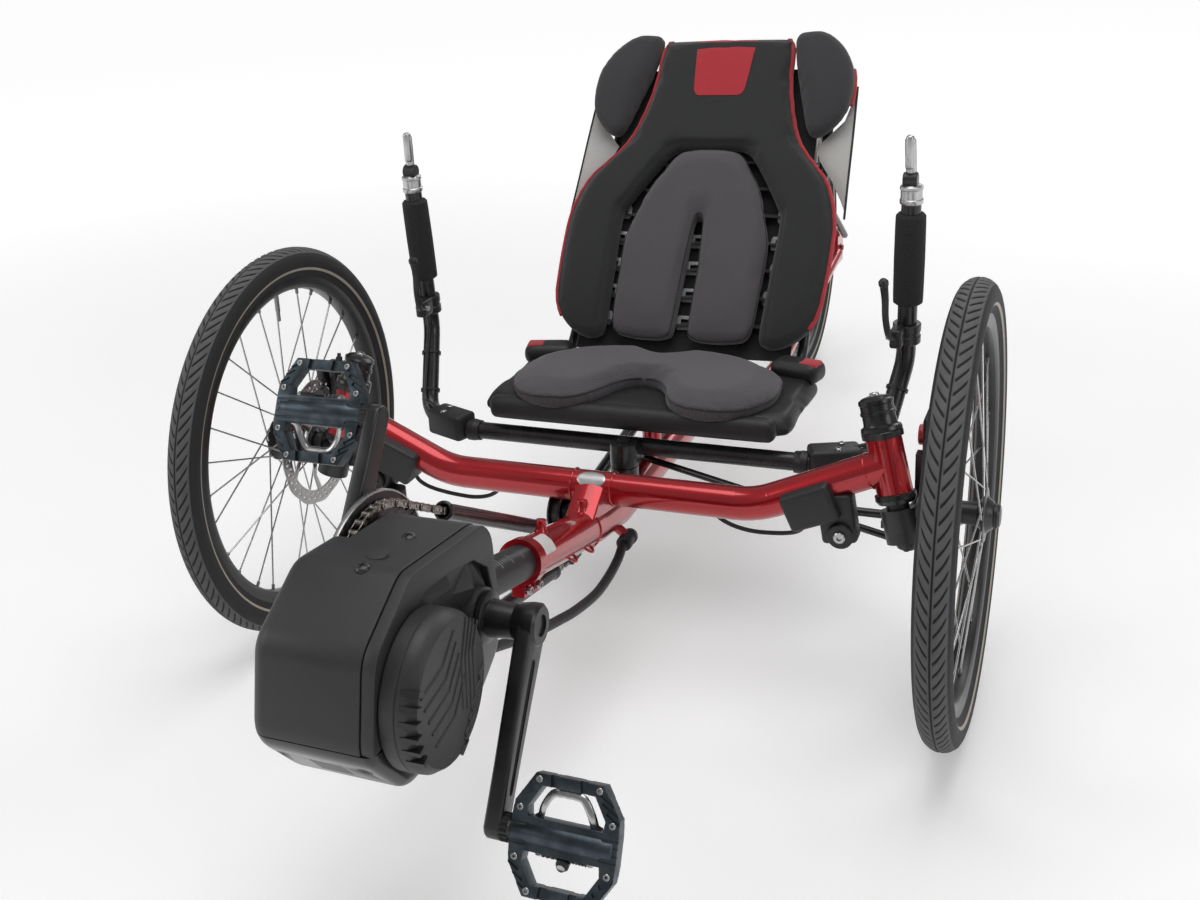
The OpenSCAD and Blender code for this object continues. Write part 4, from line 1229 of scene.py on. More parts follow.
blocks = []
for side in (-1, 1):
    blocks.append(soft_box("clamp", at(side * 252, -5, 238), (56, 46, 42), -23 * side, "Y", 5,
                           block_plastic))
    blocks.append(soft_box("body", at(side * 279, -3, 224), (38, 26, 56), -8 * side, "Y", 5,
                           block_plastic))
    ear_at = at(side * 284, -15, 208)
    blocks.append(turned("ear", [(0, 0), (0, 13), (1, 14), (6, 14), (7.2, 12.8), (7.2, 0)],
                         ear_at, (0, -1, 0), block_plastic, 36))
    blocks.append(socket_screw("ear_bolt", ear_at, (0, -1, 0), (7, 9.4, 10.4, 8),
                               (6.4, 6.4, 5.4, 3, 3), around=28))
blocks.append(turned("post", [(0, 0), (0, 13), (1, 14), (9, 14.4), (10, 13.2), (30, 13.2),
                              (31, 14.6), (38, 14.6), (39, 13.4), (50, 13.2), (78, 13), (78, 0)],
                     at(-258, -14, 120), (0, 0, 1), block_plastic, 40))
settle(joined("clamp.blocks", blocks), "frame", "block_plastic", "clamp_blocks")
plug = turned("plug", [(0, 0), (0, 8.4), (2, 9.3), (9, 9.3), (10, 8.5), (19, 8.5), (20, 9.6),
                       (25, 9.6), (28.5, 8.2), (28.5, 0)], at(28, 8, 150), (0, 1, 0),
              block_plastic, 32)
settle(plug, "frame", "block_plastic")

# ---------- handlebar ----------
# Black alloy tubes: a middle bar turns on a post under the seat and carries two
# uprights in moulded joint blocks, with foam grips, brake levers and shifters.
bar_gloss = satin_black("bar_gloss", 0.014, 0.2)
wear_finish(bar_gloss.material, "handlebar", "handlebar_post", "drag_link", "tie_rod")
joint_blocks = []
for side in (-1, 1):
    middle = at(side * 248, 130, 231)
    joint_blocks.append(soft_box("joint", middle, (60, 34, 34), 22 * side, "Z", 5, block_plastic))
    joint_blocks.append(turned("collar", [(0, 11.4), (0, 14), (8, 14.2), (9, 13.6), (16, 13),
                                          (16, 11)], at(side * 219, 125, 226), (-side, 0, 0),
                               block_plastic, 36))
    for y in (-9, 9):
        base = middle + Vector((side * 0.006, y / 1000, 0.0166))
        joint_blocks.append(socket_screw("screw", base, (0, 0, 1), (0, 2.4, 3, 1),
                                         (4, 3.8, 3, 1.9, 1.8)))
settle(joined("handlebar.joint_blocks", joint_blocks), "handlebar", "block_plastic",
       "bar_joint_blocks")

foam = Finish("foam_black", roughness=0.85)
cells = foam.noise(1300.0, 3.0)
foam.set(Base_Color=foam.mix(cells.step(0.3, 0.7), (0.008, 0.008, 0.009), (0.035, 0.035, 0.037)),
         Roughness=0.8 + cells * 0.15)
foam.bump(cells, 0.0005)
lever_silver = steel("lever_silver", 0.6, 0.26)
lever_black = satin_black("lever_black", 0.016, 0.3).material


def on_upright(side, z):
    """A point on the middle line of an upright at that height."""
    low = at(side * 312, 218, 330)
    high = at(side * 316, 206, 520)
    return low.lerp(high, (z - 330) / 190)


grips = []
brakes = []
ends = []
for side in (-1, 1):
    low = on_upright(side, 400)
    way = on_upright(side, 508) - low
    grips.append(turned("grip", [(0, 11.2), (0.3, 14.5), (2, 16.6), (14, 16.9), (54, 17.2),
                                 (94, 16.9), (105, 16.6), (107.6, 14.5), (108, 11.2)], low, way,
                        foam.material, 48))
    clamp = on_upright(side, 352)
    brakes.append(turned("clamp", [(0, 11.4), (0, 15.2), (1, 16), (9, 16), (10, 15), (14, 15),
                                   (15, 16), (23, 16), (24, 15.2), (24, 11.4)], clamp, way,
                         lever_black, 40))
    brakes.append(soft_box("hinge", at(side * 306, 190, 366), (14, 26, 22), 0, "X", 3,
                           lever_black))
    brakes.append(round_bar("pivot", -9, 9, 3.6, at(side * 304, 182, 368), (1, 0, 0),
                            bright_steel, 20))
    blade = smooth_route([at(side * x, y, z) for x, y, z in
                          ((306, 186, 366), (301, 168, 372), (298, 158, 396), (297, 158, 420),
                           (296, 152, 440))], 5)
    widths = [0.0052 - 0.0012 * math.sin(math.pi * k / (len(blade) - 1))
              for k in range(len(blade))]
    brakes.append(tube("blade", blade, widths, lever_black, 14, 0.62))
    brakes.append(turned("tip", [(-6, 0), (-5, 3.4), (-2, 5.6), (2, 5.6), (5, 3.4), (6, 0)],
                         blade[-1], blade[-1] - blade[-3], lever_black, 20))
    housing = smooth_route([at(side * x, y, z) for x, y, z in
                            ((306, 196, 356), (308, 203, 338), (307, 194, 318), (302, 173, 287),
                             (296, 152, 254), (284, 143, 250), (268, 137, 246))], 5)
    brakes.append(tube("housing", housing, 0.0023, lever_black, 12))
    for t in (0.3, 0.72):
        held = at(side * (312 - 20 * t), 218 - 66 * t, 330 - 102 * t)
        brakes.append(turned("tie", [(-1.7, 11), (-1.9, 12.9), (1.9, 12.9), (1.7, 11)], held,
                             (-20 * side, -66, -102), block_plastic, 32))
    end = at(side * 316, 206, 519)
    ends.append(turned("barrel", [(0, 0), (0, 12.4), (1, 13), (5, 13), (6, 12), (16, 12), (17, 13),
                                  (20, 12.6), (22, 10), (22, 0)], end, (0, -0.05, 1),
                       lever_silver, 36))
    stalk = [at(side * (316 - 2 * t), 205 - 5 * t, 538 + 58 * t) for t in np.linspace(0, 1, 13)]
    sizes = [0.0052 + 0.0012 * math.sin(2.4 * t) for t in np.linspace(0, 1, 13)]
    sizes[-1] = 0.003
    ends.append(tube("stalk", stalk, sizes, lever_silver, 14, 0.7))
    ends.append(soft_box("lever", at(side * 314, 199, 578), (9, 11, 38), 0, "X", 3.4,
                         lever_silver))
    ends.append(turned("dial", [(-8, 0), (-8, 8), (-7, 9), (7, 9), (8, 8), (8, 0)],
                       at(side * 315, 203, 546), (1, 0, 0), lever_black, 32))
settle(joined("handlebar.grips", grips), "handlebar", "foam_black", "grips")
settle(joined("handlebar.brake_levers", brakes), "handlebar", "lever_black", "brake_levers")
settle(joined("handlebar.end_levers", ends), "handlebar", "lever_silver", "bar_end_levers")

# ---------- steering knuckles and brake calipers ----------
# Forged black knuckles turn on the kingpins and carry stub axles and brackets.
# Two-piston disc calipers have cast bodies with a red pad adjuster knob.
knuckle_black = satin_black("knuckle_black", 0.02, 0.32)
wear_finish(knuckle_black.material, "left_knuckle", "right_knuckle")
caliper_black = satin_black("caliper_black", 0.016, 0.26).material
knob_red = mottled("knob_red", 0.35, 300.0, (0.42, 0.015, 0.02), (0.55, 0.03, 0.035)).material


body_parts = [
    soft_box("inner_half", at(363.4, 57, 301), (10.8, 40, 52), 0, "X", 3.6, caliper_black),
    soft_box("outer_half", at(381.4, 57, 301), (12.6, 40, 52), 0, "X", 3.6, caliper_black),
    soft_box("bridge", at(373, 71, 302), (26, 11, 46), 0, "X", 3, caliper_black)]
for z in (286, 316):
    body_parts.append(socket_screw("body_bolt", at(387.6, 57, z), (1, 0, 0), (-2, 2.6, 3.4, 1),
                                   (4.4, 4.4, 3.6, 2.2, 2.1)))
for k in range(4):
    body_parts.append(soft_box("fin", at(373, 79, 286 + 10 * k), (22, 5, 3), 0, "X", 1,
                               bright_steel, 2))
knob_profile = [(0, 0), (0, 9), (1, 11.2), (5.6, 11.6), (7, 10.4), (7.4, 6), (6.4, 5), (6.4, 0)]
body_parts.append(turned("knob", knob_profile, at(358.6, 60, 301), (-1, 0, 0),
                         knob_red, 12))
body_parts.append(turned("hose_nut", [(0, 0), (0, 5), (10, 5), (12, 3), (16, 2.6), (16, 0)],
                         at(366, 60, 324), (0, 0.2, 1), caliper_black, 6))
left_caliper = joined("caliper.left", body_parts)
right_caliper = mirrored(left_caliper, "caliper.right")
settle(left_caliper, "left_knuckle", "caliper_black", "left_caliper")
settle(right_caliper, "right_knuckle", "caliper_black", "right_caliper")

# ---------- wheels ----------
# Black box-section rims laced with 28 bare steel spokes to black alloy hubs.
# Each spoke is headed at a flange and ends in a brass nipple in the rim.
rim_black = satin_black("rim_black", 0.014, 0.28)
hub_black = satin_black("hub_black", 0.02, 0.24).material
spoke_steel = steel("spoke_steel", 0.5, 0.2)
nipple_dark = steel("nipple_dark", 0.3, 0.3)


def hoop(name, section, material, around=144):
    """A ring about the X axis: section is a closed outline of (x, radius) in mm."""
    points = []
    for x, radius in section:
        points += [(x / 1000, y, z) for y, z in circle_at(Vector((0, 0, 0)), radius, around)]
    faces = ring_faces(len(section), around, hoop=True)
    return show(outward(mesh_piece(name, points, faces)), material, 28)


def laced(flange_x):
    """Spokes and nipples, laced three-cross: every second one starts at the other flange."""
    shape = Shape("spokes", Count=28, Flange=flange_x, Start=0.026, End=0.1945, Gauge=0.00105)
    index = shape.node("GeometryNodeInputIndex", {}, {})
    side = index.math("MODULO", 2.0) * 2.0 - 1.0
    pair = (index / 2.0).math("FLOOR").math("MODULO", 2.0)
    angle = index * (2 * math.pi / 28)
    foot_angle = angle + (1.0 - pair * 2.0) * (math.pi / 3)
    foot = shape.vector(side * shape.size("Flange"),
                        foot_angle.math("COSINE") * shape.size("Start"),
                        foot_angle.math("SINE") * shape.size("Start"))
    tip = shape.vector(side * 0.0015, angle.math("COSINE") * shape.size("End"),
                       angle.math("SINE") * shape.size("End"))

    def vector_maths(operation, a, b, output=0):
        return shape.node("ShaderNodeVectorMath", {"operation": operation}, {0: a, 1: b}, output)

    along = vector_maths("SUBTRACT", tip, foot)
    middle = vector_maths("MULTIPLY", vector_maths("ADD", tip, foot), (0.5, 0.5, 0.5))
    length = vector_maths("LENGTH", along, (0, 0, 0), "Value")
    turn = shape.node("FunctionNodeAlignRotationToVector", {"axis": "Z"}, {"Vector": along})
    near_tip = vector_maths("SUBTRACT", tip, vector_maths(
        "MULTIPLY", vector_maths("NORMALIZE", along, (0, 0, 0)), (0.004, 0.004, 0.004)))
    wire = shape.node("GeometryNodeMeshCylinder", {}, {
        "Vertices": 10, "Radius": shape.size("Gauge"), "Depth": 1.0})
    nipple = shape.node("GeometryNodeMeshCylinder", {}, {
        "Vertices": 10, "Radius": 0.0021, "Depth": 0.012})
    nipple = shape.node("GeometryNodeSetMaterial", {}, {0: nipple, "Material": nipple_dark})
    wire = shape.node("GeometryNodeSetMaterial", {}, {0: wire, "Material": spoke_steel})
    middles = shape.node("GeometryNodePoints", {}, {"Count": shape.size("Count"),
                                                    "Position": middle})
    tips = shape.node("GeometryNodePoints", {}, {"Count": shape.size("Count"),
                                                 "Position": near_tip})
    reach = shape.vector(1.0, 1.0, length)
    join = shape.tree.nodes.new("GeometryNodeJoinGeometry")
    for points, thing, scale in ((tips, nipple, (1.0, 1.0, 1.0)), (middles, wire, reach)):
        part = shape.node("GeometryNodeInstanceOnPoints", {}, {
            "Points": points, "Instance": thing, "Rotation": turn, "Scale": scale})
        shape.tree.links.new(part.socket, join.inputs[0])
    return shape.made(Wire(shape, join.outputs[0]), None)


def wheel_parts(half_hub):
    """Rim, spokes and hub about the X axis at the origin, its outer side at +X."""
    rim_section = [(-6, 191), (-9.6, 192.6), (-12, 196), (-12.5, 199), (-12.5, 206), (-12, 207),
                   (-10.4, 207), (-10, 206), (-10, 203), (-8, 198.4), (8, 198.4), (10, 203),
                   (10, 206), (10.4, 207), (12, 207), (12.5, 206), (12.5, 199), (12, 196),
                   (9.6, 192.6), (6, 191)]
    rim = hoop("rim", rim_section, rim_black.material)
    flange = half_hub - 9
    half = [(0, 12), (flange - 7, 12.6), (flange - 3, 16), (flange - 1.6, 27.6),
            (flange - 0.8, 29), (flange + 0.8, 29), (flange + 1.6, 27.6), (flange + 2, 20),
            (half_hub - 3, 16), (half_hub - 1, 15), (half_hub, 13.4), (half_hub, 6.3)]
    profile = [(-x, r) for x, r in half[::-1]] + half[1:]
    hub = turned("hub", profile, (0, 0, 0), (1, 0, 0), hub_black, 56)
    return [rim, hub, laced(flange / 1000)]


def set_in_front(left, slot, kind):
    """Moves a part to the left front wheel, and sets its mirror image on the right one."""
    right = mirrored(left, left.name.replace("left", "right"))
    for part, x, side in ((left, 407, "left_"), (right, -407, "right_")):
        part.data.transform(Matrix.Translation(at(x, 0, 243)))
        settle(part, side + "wheel", slot, side + kind)


cap = turned("cap", [(28, 0), (28, 11), (29.5, 13), (33, 13), (35, 11.4), (36, 8), (36, 0)],
             (0, 0, 0), (1, 0, 0), hub_black, 40)
valve = turned("valve", [(0, 3), (22, 3), (23, 2.4), (34, 2.4), (35, 1.6), (35, 0)],
               (0, 0, 0.191), (0, 0, -1), nipple_dark, 16)
set_in_front(joined("wheel.left", [*wheel_parts(29), cap, valve]), "wheel_metal", "wheel")
nuts = [turned("axle_nut", [(62, 0), (62, 9), (70, 9), (71, 8), (71, 5.2), (76, 5.2), (76, 0)],
               (0, 0, 0), (side, 0, 0), bright_steel, 6) for side in (-1, 1)]
rear_wheel = joined("wheel.rear", wheel_parts(30))
rear_place = at(0, 1050, 243)
rear_wheel.data.transform(Matrix.Translation(rear_place))
settle(rear_wheel, "rear_wheel", "wheel_metal", "rear_wheel")
rear_nuts = joined("rear_frame.axle_nuts", nuts)
rear_nuts.data.transform(Matrix.Translation(rear_place))
settle(rear_nuts, "frame", "lever_silver")

# ---------- tyres ----------
# Black rubber with a moulded tread: a centre groove, curved chevron cuts to each
# side and a shoulder groove. Each sidewall carries a pale reflective band.
rubber = Finish("tyre_rubber", roughness=0.75)
dust = rubber.noise(60.0, 5.0)
texture = rubber.noise(1500.0, 2.0)
height_here = rubber.node("ShaderNodeAttribute", {"attribute_name": "tread"}, {}, "Fac")
band_here = rubber.node("ShaderNodeAttribute", {"attribute_name": "band"}, {}, "Fac")
worn = rubber.mix(dust, (0.065, 0.065, 0.067), (0.14, 0.14, 0.142))
plain = rubber.mix(dust, (0.008, 0.008, 0.009), (0.02, 0.02, 0.021))
tread_colour = rubber.mix(height_here.step(0.25, 0.8), plain, worn)
rubber.set(Base_Color=rubber.mix(band_here.step(0.4, 0.6), tread_colour, (0.42, 0.38, 0.31)),
           Roughness=0.62 + dust * 0.2 - band_here * 0.25)
rubber.bump(texture, 0.00012)


def tyre(name):
    """A tyre about the X axis at the origin, its tread cut into the mesh."""
    around = 1224
    angles = np.radians(np.linspace(-128, 128, 51))
    turn = 2 * np.pi * np.arange(around) / around
    across = 19.0 * angles
    w = np.abs(across)[None, :]
    lap = (turn * 243.0)[:, None]
    lap_pitch = 2 * np.pi * 243.0 / 102
    reach = np.minimum(w, 17.5)
    sweep = (0.9 * reach + 0.035 * reach * reach) / 243.0
    phase = lap + np.where(across > 0, lap_pitch / 2, 0)[None, :]
    saw = np.abs((phase / lap_pitch) % 1.0 - 0.5) * 2
    chevron = np.clip((0.36 - saw) / 0.16, 0, 1) * np.clip((w - 1.8) / 1.0, 0, 1)
    chevron = chevron * np.clip((15.5 - w) / 1.4, 0, 1)
    centre = np.clip((1.3 - w) / 0.6, 0, 1)
    shoulder = np.clip(1 - np.abs(w - 11.2) / 1.0, 0, 1)
    groove = np.maximum(np.maximum(chevron, centre), shoulder * 0.8)
    tread = (1 - groove) * np.clip((17.5 - w) / 1.2, 0, 1)
    radius = 19.0 - 1.5 * groove - 0.5 * np.clip((w - 17.5) / 1.5, 0, 1)
    ribs = 0.25 * (np.sin(w * 2.6) > 0.3) * (w > 20) * (w < 30)
    radius = radius + ribs
    x = radius * np.sin(angles)[None, :]
    out = 224.0 + radius * np.cos(angles)[None, :]
    band = np.exp(-((out - 216.5) / 1.7) ** 4) * (w > 24)
    inner_x = np.array([12.5, 9.0, 0.0, -9.0, -12.5])
    inner_out = np.array([206.5, 207.5, 207.8, 207.5, 206.5])
    x = np.concatenate([x, np.tile(inner_x, (around, 1))], axis=1)
    out = np.concatenate([out, np.tile(inner_out, (around, 1))], axis=1)
    filler = np.zeros((around, 5))
    tread = np.concatenate([tread, filler], axis=1)
    band = np.concatenate([band, filler], axis=1)
    columns = x.shape[1]
    sweep = np.concatenate([sweep, np.full((1, 5), sweep[0, -1])], axis=1)
    spot = turn[:, None] - sweep
    points = np.stack([x, out * np.cos(spot), out * np.sin(spot)], axis=2)
    here = np.arange(around)[:, None] * columns
    after = (np.arange(around)[:, None] + 1) % around * columns
    k = np.arange(columns)[None, :]
    j = (k + 1) % columns
    faces = np.stack([here + k, here + j, after + j, after + k], axis=2).reshape(-1, 4)
    piece = mesh_piece(name, points.reshape(-1, 3) / 1000, faces.tolist())
    for label_name, values in (("tread", tread), ("band", band)):
        layer = piece.data.attributes.new(label_name, "FLOAT", "POINT")
        layer.data.foreach_set("value", values.reshape(-1).astype(np.float32))
    shape = bmesh.new()
    shape.from_mesh(piece.data)
    if shape.calc_volume(signed=True) < 0:
        piece.data.flip_normals()
    shape.free()
    return show(piece, rubber.material, 45)


left_tyre = tyre("tyre.left")
rear_mesh = left_tyre.data.copy()
rear_mesh.transform(Matrix.Translation(rear_place))
set_in_front(left_tyre, "tyre", "tyre")
rear_tyre = bpy.data.objects.new("tyre.rear", rear_mesh)
scene.collection.objects.link(rear_tyre)
settle(rear_tyre, "rear_wheel", "tyre", "rear_tyre")

# ---------- brake discs ----------
# Stamped stainless rotors, drilled in slanting rows, on six bent arms and a
# carrier bolted to the hub.
disc_steel = Finish("disc_steel", metallic=1.0)
centre_y = disc_steel.place.part("Y") - axle_y
centre_z = disc_steel.place.part("Z") - 0.243
radial = (centre_y * centre_y + centre_z * centre_z).math("SQRT")
swirl = disc_steel.node("ShaderNodeTexNoise", {"noise_dimensions": "1D"},
                        {"W": radial * 2600.0, "Detail": 2.0})
disc_steel.set(Base_Color=disc_steel.mix(swirl, (0.36, 0.355, 0.35), (0.56, 0.55, 0.54)),
               Roughness=0.2 + swirl * 0.18)
disc_steel.bump(swirl, 0.00002)
origin = Vector((0, 0, 0))
wavy = circle_at(origin, tuple(79.2 + 0.8 * math.cos(math.pi * k / 6) for k in range(12)), 144)
holes = [circle_at(origin, 62.0, 72)]
for k in range(36):
    for row in range(2):
        turn = 2 * math.pi * (k + 0.35 * row) / 36
        reach = 0.0665 + 0.0062 * row
        centre = Vector((0, reach * math.cos(turn), reach * math.sin(turn)))
        holes.append(circle_at(centre, 1.9 + 0.2 * row, 10))
disc_parts = [plate("track", wavy, -36.0, -34.0, disc_steel.material, holes, 0.15, 1)]
for k in range(6):
    turn = 2 * math.pi * k / 6
    arm = []
    for reach, lean, half in ((20, 0.0, 5.2), (42, 0.16, 3.4), (64, 0.42, 4.6)):
        spot = Vector((math.cos(turn + lean), math.sin(turn + lean), 0))
        square = Vector((-spot.y, spot.x, 0))
        arm.append((spot * reach + square * half, spot * reach - square * half))
    outline = [(p.x / 1000, p.y / 1000) for p, _ in arm]
    outline += [(q.x / 1000, q.y / 1000) for _, q in arm[::-1]]
    disc_parts.append(plate("arm", outline, -35.9, -34.1, disc_steel.material, (), 0.2, 1))
    bolt_at = Vector((0, 0.0215 * math.cos(turn), 0.0215 * math.sin(turn)))
    disc_parts.append(turned("bolt", [(35, 0), (35, 3.6), (37.4, 3.4), (37.8, 2.6), (37.8, 0)],
                             bolt_at, (-1, 0, 0), screw_black, 16))
disc_parts.append(plate("carrier", circle_at(origin, 26), -36.2, -30, disc_steel.material,
                        [circle_at(origin, 16.2)], 0.5, 1))
set_in_front(joined("brake_disc.left", disc_parts), "disc_steel", "brake_disc")

# ---------- cassette, gears and battery ----------
# Five steel cogs on the rear hub, a black derailleur that shifts the chain, and
# the moulded battery case on a rail behind the seat.
cogs = []
for i, radius in enumerate((24, 25, 33, 41, 48)):
    teeth = round(2 * math.pi * (radius + 1) / 12.7)
    outline = circle_at(origin, (radius - 1.8, radius - 0.4, radius + 2.6, radius - 0.4),
                        teeth * 4)
    x = -57 + 5.5 * i
    cutouts = [circle_at(origin, 15.8, 40)]
    if radius > 30:
        for k in range(5):
            turn = 2 * math.pi * k / 5
            spot = Vector((0, math.cos(turn), math.sin(turn))) * (radius + 14) / 2000
            cutouts.append(circle_at(spot, (radius - 20) / 3.0, 16))
    cogs.append(plate("cog", outline, x, x + 1.9, link_steel, cutouts, 0.25, 1))
cogs.append(turned("body", [(-59, 5.5), (-59, 14), (-57.6, 15.4), (-57, 16), (-30, 16),
                            (-30, 5.5)], (0, 0, 0), (1, 0, 0), nipple_dark, 40))
cassette = joined("cassette.cogs", cogs)
cassette.data.transform(Matrix.Translation(rear_place))
settle(cassette, "rear_wheel", "chain_steel", "cassette")
wear_finish(idler_black, "derailleur")
jockeys = []
for y, z in ((1062, 168), (1036, 112)):
    outline = circle_at(at(0, y, z), (17.0, 18.6, 21.6, 18.6), 44)
    jockeys.append(plate("jockey", outline, chain_x - 1.6, chain_x + 1.6, idler_black, (), 0.3, 1))
    jockeys.append(turned("bolt", [(-8.6, 0), (-8.6, 3.6), (-7, 4.4), (7, 4.4), (8.6, 3.6),
                                   (8.6, 0)], at(chain_x, y, z), (1, 0, 0), bright_steel, 20))
settle(joined("derailleur.wheels", jockeys), "frame", "gloss_black")

back_tilt = math.radians(52)
back_way = Vector((0, math.cos(back_tilt), math.sin(back_tilt)))
back_out = Vector((0, -math.sin(back_tilt), math.cos(back_tilt)))
crease = at(0, 306, 290)


def on_back(x, d, out):
    """A point of the seat back: d up its slope from the crease and out to its front."""
    return crease + Vector((x, 0, 0)) / 1000 + back_way * d / 1000 + back_out * out / 1000


case = moulded("battery_case", 0.02, 0.4, 1000.0, 0.00012)
battery_parts = [
    soft_box("pack", on_back(0, 275, -101), (90, 306, 86), 52, "X", 12, case, 4),
    soft_box("lid", on_back(0, 418, -101), (84, 26, 80), 52, "X", 8, case, 3),
    soft_box("grip", on_back(0, 275, -103), (91.4, 150, 40), 52, "X", 6, case_gloss, 3),
    soft_box("rail", on_back(0, 250, -148.2), (24, 200, 4.6), 52, "X", 1.5, cast_metal, 2)]
for d in (178, 258):
    for side in (-1, 1):
        battery_parts.append(socket_screw("rail_bolt", on_back(side * 11, d, -157),
                                          (side, 0, 0), (-1, 3, 3.6, 2),
                                          (4.4, 4.2, 3.4, 2, 1.9), around=20))
for k in range(5):
    battery_parts.append(soft_box("gauge", on_back(-46.4, 180 + 9 * k, -101), (1.4, 5, 5), 52, "X",
                                  0.5, label_white, 1))
settle(joined("battery.case", battery_parts), "frame", "motor_plastic", "battery")

# ---------- seat frame and sling ----------
# Bent black tube carries a stretched black mesh sling, crossed by webbing
# straps with clear plastic clips. Pale mesh panels fill in below the wings.
wear_finish(bar_gloss.material, "seat_frame")


def fabric(name, dark, light, ribs=420.0, tilt=0.0):
    """Knitted fabric with fine slanting ribs and a slightly dusty face."""
    cloth = Finish(name, Sheen_Weight=0.25, Sheen_Roughness=0.5)
    laid = cloth.moved((1, 1, 1), (-tilt, 0, 0))
    slant = (laid.part("X") + laid.part("Y") * 0.8) * ribs
    cross = (laid.part("X") * -0.8 + laid.part("Y")) * ribs * 0.5
    rib = (slant.math("FRACT") - 0.5).math("ABSOLUTE") * 2.0
    dash = (cross.math("FRACT") - 0.5).math("ABSOLUTE") * 2.0
    soil = cloth.noise(14.0, 4.0)
    fuzz = cloth.noise(900.0, 2.0)
    weave = rib * 0.7 + dash * 0.3
    cloth.set(Base_Color=cloth.mix(weave * 0.6 + soil * 0.25 + fuzz * 0.2, dark, light),
              Roughness=0.8 + soil * 0.15)
    cloth.bump(weave + fuzz * 0.4, 0.00035)
    return cloth.material


cover_black = fabric("cover_black", (0.004, 0.0045, 0.005), (0.024, 0.025, 0.027), 420.0, 52)
pad_grey = fabric("pad_grey", (0.035, 0.032, 0.036), (0.115, 0.106, 0.115), 400.0, 52)
base_grey = fabric("base_grey", (0.035, 0.032, 0.036), (0.115, 0.106, 0.115), 400.0, 0)
wing_grey = fabric("wing_grey", (0.014, 0.013, 0.015), (0.045, 0.042, 0.047), 900.0, 52)
mesh_black = fabric("mesh_black", (0.002, 0.002, 0.002), (0.02, 0.02, 0.021), 300.0, 52)
mesh_white = fabric("mesh_white", (0.36, 0.35, 0.34), (0.62, 0.61, 0.59), 500.0, 52)
web_black = fabric("web_black", (0.006, 0.006, 0.007), (0.04, 0.04, 0.042), 600.0, 52)
trim_red = fabric("trim_red", (0.34, 0.012, 0.022), (0.62, 0.03, 0.045), 1100.0, 52)
hide_black = Finish("hide_black", roughness=0.5)
creases = hide_black.noise(420.0, 4.0)
folds = hide_black.noise(22.0, 3.0)
hide_black.set(Base_Color=hide_black.mix(creases, (0.007, 0.007, 0.008), (0.022, 0.022, 0.024)),
               Roughness=0.38 + creases * 0.22)
hide_black.bump(creases * 0.3 + folds, 0.0012)
seam_thread = fabric("seam_thread", (0.004, 0.004, 0.004), (0.02, 0.02, 0.02), 1500.0, 0)
clip_clear = mottled("clip_clear", 0.25, 200.0, (0.30, 0.30, 0.31), (0.46, 0.46, 0.47)).material


def bowed(x, d, out):
    """A place on the seat back, which curves forward a little towards its sides."""
    return on_back(x, d, out + 9.0 * (abs(x) / 190) ** 2)


def smooth_loop(points, steps=6):
    """A closed smooth outline through points."""
    places = np.array(points)
    ends = [np.roll(places, shift, axis=0) for shift in (1, 0, -1, -2)]
    loop = []
    for a, b, c, d in zip(*ends):
        loop += [tuple(place) for place in stretch(a, b, c, d, steps)]
    return loop


def both_halves(right):
    """A whole outline from its right half, which runs from the middle to the middle."""
    return right + [(-x, y) for x, y in right[::-1] if abs(x) > 0.01]


def laid_on(piece, place):
    """Carries a flat form (out, x, along) to its place on the seat."""
    for vertex in piece.data.vertices:
        out, x, along = vertex.co * 1000
        vertex.co = place(x, along, out)
    return outward(piece)


def two_layers(rows, columns):
    """Faces of a thin cloth: two layers of rows of points, closed round the rim."""
    layer = rows * columns
    faces = []
    for r in range(rows - 1):
        for c in range(columns - 1):
            k = r * columns + c
            quad = (k, k + 1, k + columns + 1, k + columns)
            faces.append(quad[::-1])
            faces.append(tuple(q + layer for q in quad))
    rim = list(range(columns - 1)) + [r * columns + columns - 1 for r in range(rows - 1)]
    rim += [(rows - 1) * columns + c for c in range(columns - 1, 0, -1)]
    rim += [r * columns for r in range(rows - 1, 0, -1)]
    for a, b in zip(rim, rim[1:] + rim[:1]):
        faces.append((a, b, b + layer, a + layer))
    return faces


sling_parts = []
for outline, low, place in (
        ([(-149, 4), (149, 4), (143, 220), (137, 438), (-137, 438), (-143, 220)], -34, bowed),
        ([(-151, 150), (151, 150), (151, 290), (-151, 290)], 257, at)):
    rows = 24
    points = []
    left = sorted([p for p in outline if p[0] < 0], key=lambda p: p[1])
    for side in (0.0, 1.0):
        for r in range(rows + 1):
            along = left[0][1] + (left[-1][1] - left[0][1]) * r / rows
            half = -np.interp(along, [p[1] for p in left], [p[0] for p in left])
            for c in range(rows + 1):
                u = 2 * c / rows - 1
                sag = 2.2 * (1 - u * u) * math.sin(math.pi * r / rows)
                points.append(place(u * half, along, low - sag + 0.9 * side))
    sheet = mesh_piece("sling", points, two_layers(rows + 1, rows + 1))
    sling_parts.append(show(outward(sheet), mesh_black, 40))
sling = joined("sling.mesh", sling_parts)
settle(sling, "frame", "mesh_fabric", "seat_sling")

